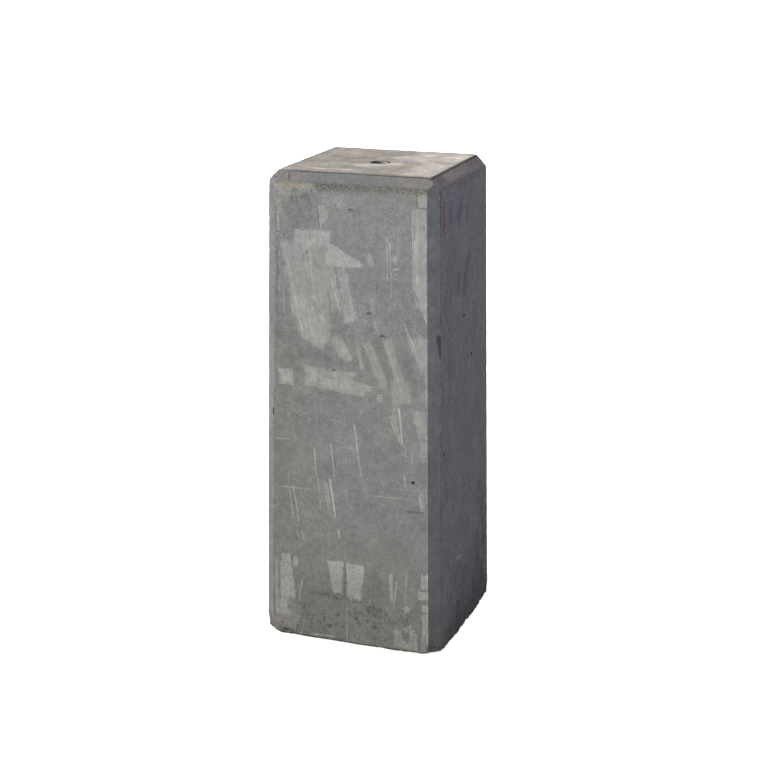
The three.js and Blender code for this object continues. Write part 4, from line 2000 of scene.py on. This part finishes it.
BACK_STAINS = Layer(
    tone=(0.84, 0.84, 0.83),
    wander=10.0,
    wander_size=18.0,
    ragged=0.7,
    lean=5,
    streak_width=4.0,
    streak_length=24,
    softness=0.4,
    marks=(
        Mark((-40, 460), (-20, 360), 40, 34, 0.46, 20, 26),
        Mark((46, 300), (30, 190), 36, 40, 0.42, 20, 30),
        Mark((-60, 120), (60, 110), 30, 36, 0.36, 20, 20),
        Mark((-92, 14), (92, 14), 30, 30, 0.46, 14, 6),
    ),
)
BACK_FILM = Layer(
    tone=(1.24, 1.24, 1.21),
    wander=8.0,
    wander_size=16.0,
    ragged=0.6,
    lean=-9,
    streak_width=3.0,
    streak_length=44,
    softness=0.3,
    patchy=0.35,
    patch_size=9,
    marks=(
        Mark((26, 440), (10, 350), 40, 30, 0.7, 12, 16),
        Mark((-56, 330), (-44, 262), 22, 26, 0.72, 8, 12),
        Mark((10, 210), (18, 160), 26, 20, 0.62, 8, 12),
        Mark((-70, 96), (-69, 56), 16, 14, 0.8, 3, 5),
        Mark((40, 92), (41, 60), 12, 10, 0.8, 3, 5),
    ),
)

# Marks of the arrises, in millimetres right of the pier's middle and above the ground

# Painted shade: the front-right arris, which faces away from the key light, is coloured darker and bluer.
RIGHT_ARRIS_PAINTED_SHADE = Layer(
    tone=(0.78, 0.78, 0.825),
    marks=(Mark((93, 540), (93, -40), 60, 60, 1.0, 4, 4),),
)
# Painted shade: the front-right arris darkens towards its foot.
ARRIS_FOOT_PAINTED_SHADE = Layer(
    tone=(0.87, 0.85, 0.85),
    marks=(Mark((93, 210), (93, -150), 60, 60, 1.0, 4, 200),),
)
ARRIS_BLUE = Layer(
    tone=(0.90, 1.0, 1.06),
    wander=2.0,
    wander_size=9.0,
    marks=(
        Mark((86, 478), (87, 440), 9, 9, 0.9, 4, 12),
        Spot((92, 88), 9, 30, 0.6, 0.9),
    ),
)
ARRIS_DARK = Layer(
    tone=(0.42, 0.42, 0.43),
    wander=2.2,
    wander_size=3.0,
    ragged=0.75,
    lean=10,
    streak_width=1.5,
    streak_length=4,
    softness=0.30,
    marks=(
        Mark((91.0, 344), (91.6, 332), 3.6, 3.4, 0.9, 1.4, 3),
        Mark((91.8, 335), (92.6, 320), 2.8, 1.2, 0.85, 1.2, 3),
        Mark((92.3, 364), (92.6, 355), 1.3, 1.2, 0.85, 1, 2),
        Mark((90.0, 488), (91.4, 440), 1.6, 1.2, 0.6, 1, 4),
        Mark((98.2, 4), (90.4, 486), 0.9, 0.9, 0.5, 0.8, 4),
        Mark((-98.4, 14), (-90.6, 484), 2.0, 2.0, 0.5, 1.0, 4),
        Mark((-84, 486), (-86, 474), 3, 2, 0.3, 2, 3),
        # Painted shade: the dark marks at the arrises' foot stand in for the shade of the gap under it.
        Mark((87, 8), (99, 6), 5, 5, 0.6, 3, 3),
        Mark((-99, 4), (-87, 6), 5, 5, 0.5, 3, 3),
    ),
)
ARRIS_PALE = Layer(
    tone=(1.22, 1.22, 1.21),
    wander=1.0,
    wander_size=5.0,
    ragged=0.7,
    streak_width=1.2,
    streak_length=7,
    softness=0.4,
    marks=(
        Mark((-79.9, 486), (-87.2, 6), 1.0, 1.0, 0.5, 0.8, 4),
        Mark((79.9, 486), (87.4, 6), 0.8, 0.8, 0.5, 0.6, 4),
        Mark((-96, 6), (-92, 300), 2, 2, 0.4, 2, 20),
    ),
)

# Marks of the rim, in millimetres right of and back from the pier's middle

# Painted light: the right rim bevel, which faces away from the key light, is coloured lighter.
RIM_RIGHT_PAINTED_LIGHT = Layer(
    tone=(1.27, 1.19, 1.16),
    marks=(Mark((86, -80), (86, 80), 12, 12, 1.0, 1, 1),),
)
RIM_GREEN = Layer(
    tone=(1.11, 1.06, 0.95),
    wander=3.0,
    wander_size=6.0,
    marks=(
        Mark((-92, -86), (-60, -85), 16, 12, 1.0, 4, 10),
        Mark((44, -85), (90, -86), 12, 14, 0.9, 4, 14),
        Mark((-50, -79.5), (40, -79.5), 5, 5, 0.6, 2, 20),
    ),
)
RIM_DARK = Layer(
    tone=(0.70, 0.69, 0.70),
    wander=2.0,
    wander_size=7.0,
    ragged=0.5,
    streak_width=6,
    streak_length=2.2,
    softness=0.4,
    marks=(
        Mark((-44, -89.5), (88, -90.0), 2.4, 1.8, 0.66, 1.4, 8),
        Mark((-10, -85), (30, -85), 9, 8, 0.36, 4, 14),
        Mark((-68, -80.5), (-64.5, -89), 1.8, 1.4, 1.0, 1, 2),
        Mark((89.6, -82), (89.6, 82), 1.6, 1.6, 0.7, 1, 3),
        Mark((84, -78), (86, -52), 9, 7, 0.66, 4, 6),
        Mark((84, 30), (84, 76), 9, 9, 0.66, 5, 12),
    ),
)
RIM_LINE = Layer(
    tone=(0.42, 0.41, 0.40),
    wander=0.6,
    wander_size=8.0,
    ragged=0.35,
    streak_width=14,
    streak_length=0.9,
    softness=0.4,
    marks=(
        Mark((-66, -80.6), (80, -80.6), 1.3, 1.3, 0.78, 0.9, 6),
        Mark((80.8, -82), (80.8, 80), 2.2, 2.0, 0.95, 1.2, 4),
        Mark((-80, 80.4), (80, 80.4), 1.2, 1.2, 0.6, 0.9, 6),
        Mark((-80.4, -66), (-80.4, 80), 1.2, 1.2, 0.5, 0.9, 6),
        Mark((80.6, -80.6), (89.6, -89.6), 0.9, 0.9, 0.4, 0.8, 2),
    ),
)
RIM_PITS = Layer(
    tone=(0.50, 0.50, 0.49),
    wander=0.8,
    wander_size=2.0,
    marks=(
        Spot((-78, -82.5), 1.8, 1.6),
        Spot((-81, -85.5), 3.0, 1.6, 0.9),
        Spot((-75, -86.7), 2.0, 1.6),
        Spot((-66.5, -86), 1.6, 3.4, 0.9),
        Spot((-76, -90), 3.0, 1.6, 0.8),
        Spot((-83, -89), 2.2, 1.8, 0.7),
        Spot((-60, -88.5), 1.4, 1.0, 0.6),
        Spot((84, -88), 2.0, 1.2, 0.6),
    ),
)
RIM_SMUDGE = Layer(
    tone=(1.14, 1.14, 1.18),
    wander=3.0,
    wander_size=10.0,
    marks=(
        Mark((85, -44), (85, 6), 9, 7, 0.8, 5, 16),
        Spot((86, -62), 5, 14, 0.5, 0.8),
        Spot((-80, -84), 8, 4, 0.5, 0.8),
        Spot((-57, -85), 14, 9, 0.7, 0.8),
    ),
)

# Marks of the top, in millimetres right of and back from its middle

TOP_PALE = Layer(
    tone=(1.52, 1.51, 1.52),
    wander=14.0,
    wander_size=26.0,
    ragged=0.6,
    lean=90,
    streak_width=7,
    streak_length=20,
    softness=0.4,
    patchy=0.35,
    patch_size=14,
    marks=(
        Mark((16, 52), (84, 44), 50, 66, 0.95, 20, 20),
        Mark((44, -16), (84, -18), 50, 60, 0.9, 20, 20),
        Mark((50, -58), (80, -62), 34, 36, 0.95, 12, 14),
        Mark((20, 30), (60, 10), 26, 24, 0.7, 12, 12),
        Mark((-58, -64), (-10, -60), 12, 12, 0.7, 6, 10),
        Spot((-68, 14), 18, 16, 0.6, 0.8),
        Spot((-70, -66), 22, 14, 0.8, 0.7),
    ),
)
TOP_WHITE = Layer(
    tone=(1.55, 1.54, 1.54),
    wander=4.0,
    wander_size=9.0,
    ragged=0.4,
    lean=80,
    streak_width=3,
    streak_length=12,
    softness=0.4,
    marks=(
        Mark((-16, -32), (2, -22), 18, 18, 1.3, 8, 8),
        Mark((-4, -22), (26, -6), 20, 16, 1.3, 8, 8),
        Mark((4, 27), (18, 38), 10, 12, 0.85, 6, 8),
        Spot((36, 52), 22, 18, 0.8, 0.8),
        Spot((68, 50), 30, 16, 0.8, 0.8),
        Spot((60, -44), 26, 18, 0.7, 0.8),
    ),
)
TOP_BROWN = Layer(
    tone=(0.66, 0.63, 0.605),
    wander=8.0,
    wander_size=12.0,
    ragged=0.6,
    lean=88,
    streak_width=5,
    streak_length=16,
    softness=0.4,
    marks=(
        Spot((-57, 22), 18, 14, 0.95, 0.7),
        Spot((-75, 38), 12, 20, 0.85, 0.7),
        Spot((-55, -48), 20, 12, 1.0, 0.7),
        Spot((-62, 62), 34, 24, 0.8, 0.8),
        Mark((-44, 10), (-10, 20), 12, 12, 0.6, 8, 8),
        Spot((24, 33), 16, 10, 0.95, 0.7),
        Spot((65, 29), 14, 9, 0.95, 0.7),
        Spot((-72, -54), 20, 8, 0.8, 0.7),
        Spot((-30, 46), 30, 22, 0.55, 0.8),
        Mark((20, -76), (78, -77), 5, 5, 0.7, 4, 8),
        Mark((-78, -50), (-79, 60), 5, 5, 0.6, 4, 10),
    ),
)
TOP_GREEN = Layer(
    tone=(0.88, 0.925, 0.90),
    wander=6.0,
    wander_size=12.0,
    marks=(
        Mark((-54, -12), (-12, 2), 12, 12, 0.7, 8, 10),
        Mark((-4, -14), (14, -2), 8, 8, 0.95, 5, 6),
        Mark((-10, 16), (8, 22), 8, 8, 0.95, 5, 6),
        Spot((21, 66), 36, 20, 0.8, 0.8),
        Spot((2, 3), 40, 40, 0.5, 0.8),
    ),
)
TOP_YELLOW = Layer(
    tone=(0.94, 0.92, 0.79),
    wander=6.0,
    wander_size=14.0,
    marks=(
        Mark((28, -46), (50, -4), 18, 12, 1.0, 10, 12),
        Mark((-78, -56), (-60, -66), 10, 10, 0.6, 6, 8),
        Mark((10, -70), (36, -66), 12, 12, 0.5, 8, 10),
    ),
)
TOP_EDGE = Layer(
    tone=(0.60, 0.575, 0.56),
    wander=0.8,
    wander_size=8.0,
    marks=(
        Mark((-76, -78.6), (78, -78.6), 2.2, 2.2, 0.8, 1.6, 5),
        Mark((78.8, -79), (78.8, 79), 1.6, 1.6, 0.8, 1.2, 5),
        Mark((-79, 77.6), (79, 77.6), 4.0, 4.0, 0.8, 2.5, 5),
        Mark((-78.6, -60), (-78.6, 78), 2.2, 2.2, 0.7, 1.6, 5),
    ),
)

# Finishes

FRONT_FINISH = ConcreteFinish(
    name="concrete front",
    zone=Zone.FRONT,
    shades=(
        (0, (0.118, 0.115, 0.101)),
        (28, (0.130, 0.127, 0.113)),
        (52, (0.144, 0.141, 0.128)),
        (100, (0.166, 0.166, 0.154)),
        (220, (0.180, 0.180, 0.170)),
        (330, (0.188, 0.189, 0.180)),
        (440, (0.200, 0.201, 0.194)),
        (484, (0.205, 0.206, 0.196)),
        (492, (0.184, 0.184, 0.166)),
    ),
    layers=(
        DAMP_LEFT,
        GREY_PATCHES,
        WIPED_PATCH,
        SLANTING_SWIPES,
        EDGE_BAND,
        HAND_BAND,
        SECOND_COAT,
        FOOT_STROKES,
        FOOT_DABS,
        FOOT_SAND,
        FOOT_FILM,
        GRITTY_FILM,
        FOOT_GAP_PAINTED_SHADOW,
        FINE_HAIRS,
        SCRATCHES,
        WORN_EDGE_AND_HIGHLIGHT,
        CORNER_CRUST,
        YELLOWING,
        RIM_FRINGE,
        DARK_LINES,
        RUST,
        DOTS_AND_PIT_SHADOWS,
    ),
    streaks=0.06,
    streak_lean=4,
)
# The right side's shades carry a purple-grey tint, partly painted colour of the cool shade on this side,
# which faces away from the key light.
SHADE_TINTED_SIDE_SHADES = (
    (0, (0.132, 0.126, 0.126)),
    (40, (0.150, 0.143, 0.146)),
    (120, (0.172, 0.164, 0.175)),
    (300, (0.178, 0.170, 0.180)),
    (480, (0.192, 0.182, 0.198)),
)
PLAIN_SIDE_SHADES = (
    (0, (0.124, 0.120, 0.110)),
    (40, (0.150, 0.147, 0.136)),
    (120, (0.172, 0.171, 0.164)),
    (480, (0.196, 0.195, 0.190)),
)
RIGHT_FINISH = ConcreteFinish(
    name="concrete right",
    zone=Zone.RIGHT,
    shades=SHADE_TINTED_SIDE_SHADES,
    layers=(
        MOULD_STREAKS,
        MOULD_SHINE,
        RIGHT_BLUE,
        RIGHT_BLUSH,
        LOW_STREAKS_AND_FOOT_SHADE,
        RIGHT_STAINS,
        RIGHT_BORDER_AND_PIT_SHADOWS,
        RIGHT_FLECKS,
    ),
    streaks=0.10,
    grain=1.3,
    fine_mottle=0.6,
)
BACK_FINISH = ConcreteFinish(
    name="concrete back",
    zone=Zone.BACK,
    shades=PLAIN_SIDE_SHADES,
    layers=(MOULD_STREAKS, BACK_STAINS, BACK_FILM, FINE_HAIRS, FOOT_SAND),
    streaks=0.10,
    streak_lean=3,
)
LEFT_FINISH = ConcreteFinish(
    name="concrete left",
    zone=Zone.LEFT,
    shades=PLAIN_SIDE_SHADES,
    layers=(MOULD_SHINE, MOULD_STREAKS, BACK_STAINS, FOOT_SAND),
    streaks=0.12,
    streak_lean=-3,
)
ARRIS_FINISH = ConcreteFinish(
    name="concrete arris",
    zone=Zone.ARRIS,
    shades=(
        (0, (0.158, 0.155, 0.148)),
        (40, (0.176, 0.174, 0.168)),
        (120, (0.192, 0.191, 0.186)),
        (480, (0.214, 0.211, 0.209)),
    ),
    layers=(RIGHT_ARRIS_PAINTED_SHADE, ARRIS_FOOT_PAINTED_SHADE, ARRIS_BLUE, ARRIS_PALE, ARRIS_DARK),
    streaks=0.10,
    mottle=0.7,
    grain=0.9,
    relief=0.08,
)
RIM_FINISH = ConcreteFinish(
    name="concrete rim",
    zone=Zone.RIM,
    shades=((0, (0.139, 0.139, 0.138)), (500, (0.139, 0.139, 0.138))),
    layers=(RIM_RIGHT_PAINTED_LIGHT, RIM_GREEN, RIM_SMUDGE, RIM_DARK, RIM_LINE, RIM_PITS),
    streaks=0.0,
    mottle=0.5,
    mottle_size=18,
    grain=0.9,
    relief=0.08,
)
TOP_FINISH = ConcreteFinish(
    name="concrete top",
    zone=Zone.TOP,
    shades=((0, (0.300, 0.274, 0.245)), (500, (0.300, 0.274, 0.245))),
    layers=(TOP_PALE, TOP_BROWN, TOP_GREEN, TOP_YELLOW, TOP_WHITE, TOP_EDGE),
    mottle=0.8,
    mottle_size=30,
    fine_mottle=0.8,
    streaks=0.0,
    grain=0.5,
    relief=0.1,
)
UNDERSIDE_FINISH = ConcreteFinish(
    name="concrete underside",
    zone=Zone.UNDERSIDE,
    shades=((0, (0.13, 0.127, 0.118)), (500, (0.13, 0.127, 0.118))),
    mottle=0.9,
    grain=1.2,
    relief=0.5,
)
# Painted shade: the near-black colour inside hollows stands in for the shade in them.
HOLLOW_SHADE_FINISH = ConcreteFinish(
    name="concrete hollow shade",
    zone=Zone.BROKEN,
    shades=((0, (0.078, 0.077, 0.078)), (500, (0.078, 0.077, 0.078))),
    grain=1.2,
    relief=0.3,
)
FINISHES = (
    FRONT_FINISH,
    RIGHT_FINISH,
    BACK_FINISH,
    LEFT_FINISH,
    ARRIS_FINISH,
    RIM_FINISH,
    TOP_FINISH,
    UNDERSIDE_FINISH,
    HOLLOW_SHADE_FINISH,
)


# Studio


@dataclass
class Studio:
    """A pale floor, a white surround, soft light and the camera of the photograph."""

    camera_place: tuple[float, float, float] = (0.5649, -1.5984, 0.7662)
    camera_pitch: float = 73.4037
    camera_turn: float = 19.3375
    lens: float = 77.452
    key_from: tuple[float, float, float] = (-0.45, -0.70, 0.85)
    key_spread: float = 30.0
    key_strength: float = 3.5
    surround: float = 0.48
    floor_size: float = 24.0
    floor_glow: float = 0.9

    def build(self) -> None:
        """Set up the floor, the surround, the light and the camera."""
        self.lay_floor()
        self.hang_surround()
        self.set_key()
        self.set_camera()
        bpy.context.scene.view_settings.view_transform = "Standard"

    def lay_floor(self) -> None:
        """Lay a floor that looks near white and throws back little light."""
        Workpiece.clear_bench()
        bpy.ops.mesh.primitive_plane_add(size=self.floor_size)
        floor = bpy.context.object
        floor.name = "studio_floor"
        material = bpy.data.materials.new("studio floor")
        material.use_nodes = True
        graph = Graph(material.node_tree)
        seen = graph.add("LightPath").outputs["Is Camera Ray"]
        mix = graph.add("Mix", data_type="RGBA")
        graph.feed(mix.inputs[0], seen)
        graph.feed(mix.inputs[6], (0.42, 0.42, 0.44, 1.0))
        graph.feed(mix.inputs[7], (0.93, 0.93, 0.93, 1.0))
        shader = material.node_tree.nodes["Principled BSDF"]
        shader.inputs["Roughness"].default_value = 1.0
        shader.inputs["Specular IOR Level"].default_value = 0.0
        graph.feed(shader.inputs["Base Color"], mix.outputs[2])
        shader.inputs["Emission Color"].default_value = (1.0, 1.0, 1.0, 1.0)
        graph.feed(shader.inputs["Emission Strength"], graph.math("MULTIPLY", seen, self.floor_glow))
        floor.data.materials.append(material)

    def hang_surround(self) -> None:
        """Surround the scene with white that lights it softly."""
        world = bpy.data.worlds.new("studio surround")
        world.use_nodes = True
        bpy.context.scene.world = world
        graph = Graph(world.node_tree)
        background = world.node_tree.nodes["Background"]
        seen = graph.add("LightPath").outputs["Is Camera Ray"]
        mix = graph.add("Mix", data_type="RGBA")
        level = self.surround
        graph.feed(mix.inputs[0], seen)
        graph.feed(mix.inputs[6], (level * 0.99, level * 0.97, level * 1.04, 1.0))
        graph.feed(mix.inputs[7], (1.0, 1.0, 1.0, 1.0))
        graph.feed(background.inputs["Color"], mix.outputs[2])

    def set_key(self) -> None:
        """Hang the large soft key light above the front left."""
        from_place = Vector(self.key_from)
        turn = from_place.to_track_quat("Z", "Y").to_euler()
        bpy.ops.object.light_add(type="SUN", location=from_place, rotation=turn)
        lamp = bpy.context.object
        lamp.name = "key_light"
        lamp.data.energy = self.key_strength
        lamp.data.angle = math.radians(self.key_spread)

    def set_camera(self) -> None:
        """Set the camera at the photograph's viewing angle."""
        turn = (math.radians(self.camera_pitch), 0.0, math.radians(self.camera_turn))
        bpy.ops.object.camera_add(location=self.camera_place, rotation=turn)
        camera = bpy.context.object
        camera.data.lens = self.lens
        camera.data.sensor_width = 36.0
        bpy.context.scene.camera = camera


def node_box_mm(node: str) -> tuple[Vector, Vector]:
    """A node's lowest and highest corners in millimetres."""
    low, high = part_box(node)
    return Vector(low) / MM, Vector(high) / MM


def main() -> None:
    """Build the studio and the pieces in order and report each one."""
    logging.basicConfig(level=logging.INFO, format="%(name)s: %(message)s", stream=sys.stdout)
    Studio().build()
    log.info("studio ready")
    effects = Effects()
    block_high = node_box_mm(BLOCK_NODE)[1]
    insert_low, insert_high = node_box_mm(INSERT_NODE)
    materials = {finish.zone: finish.make(effects) for finish in FINISHES}
    block = ConcreteBlock(
        form=PierForm(height=block_high.z),
        materials=materials,
        insert_radius=insert_high.x,
        insert_top=insert_high.z,
        insert_floor=insert_low.z,
    ).build()
    log.info("%s: %d faces", block.name, len(block.data.polygons))
    insert = ThreadedInsert(
        radius=insert_high.x, top=insert_high.z, floor=insert_low.z
    ).build(SteelFinish().make(effects))
    log.info("%s: %d faces", insert.name, len(insert.data.polygons))


if __name__ == "__main__":
    main()
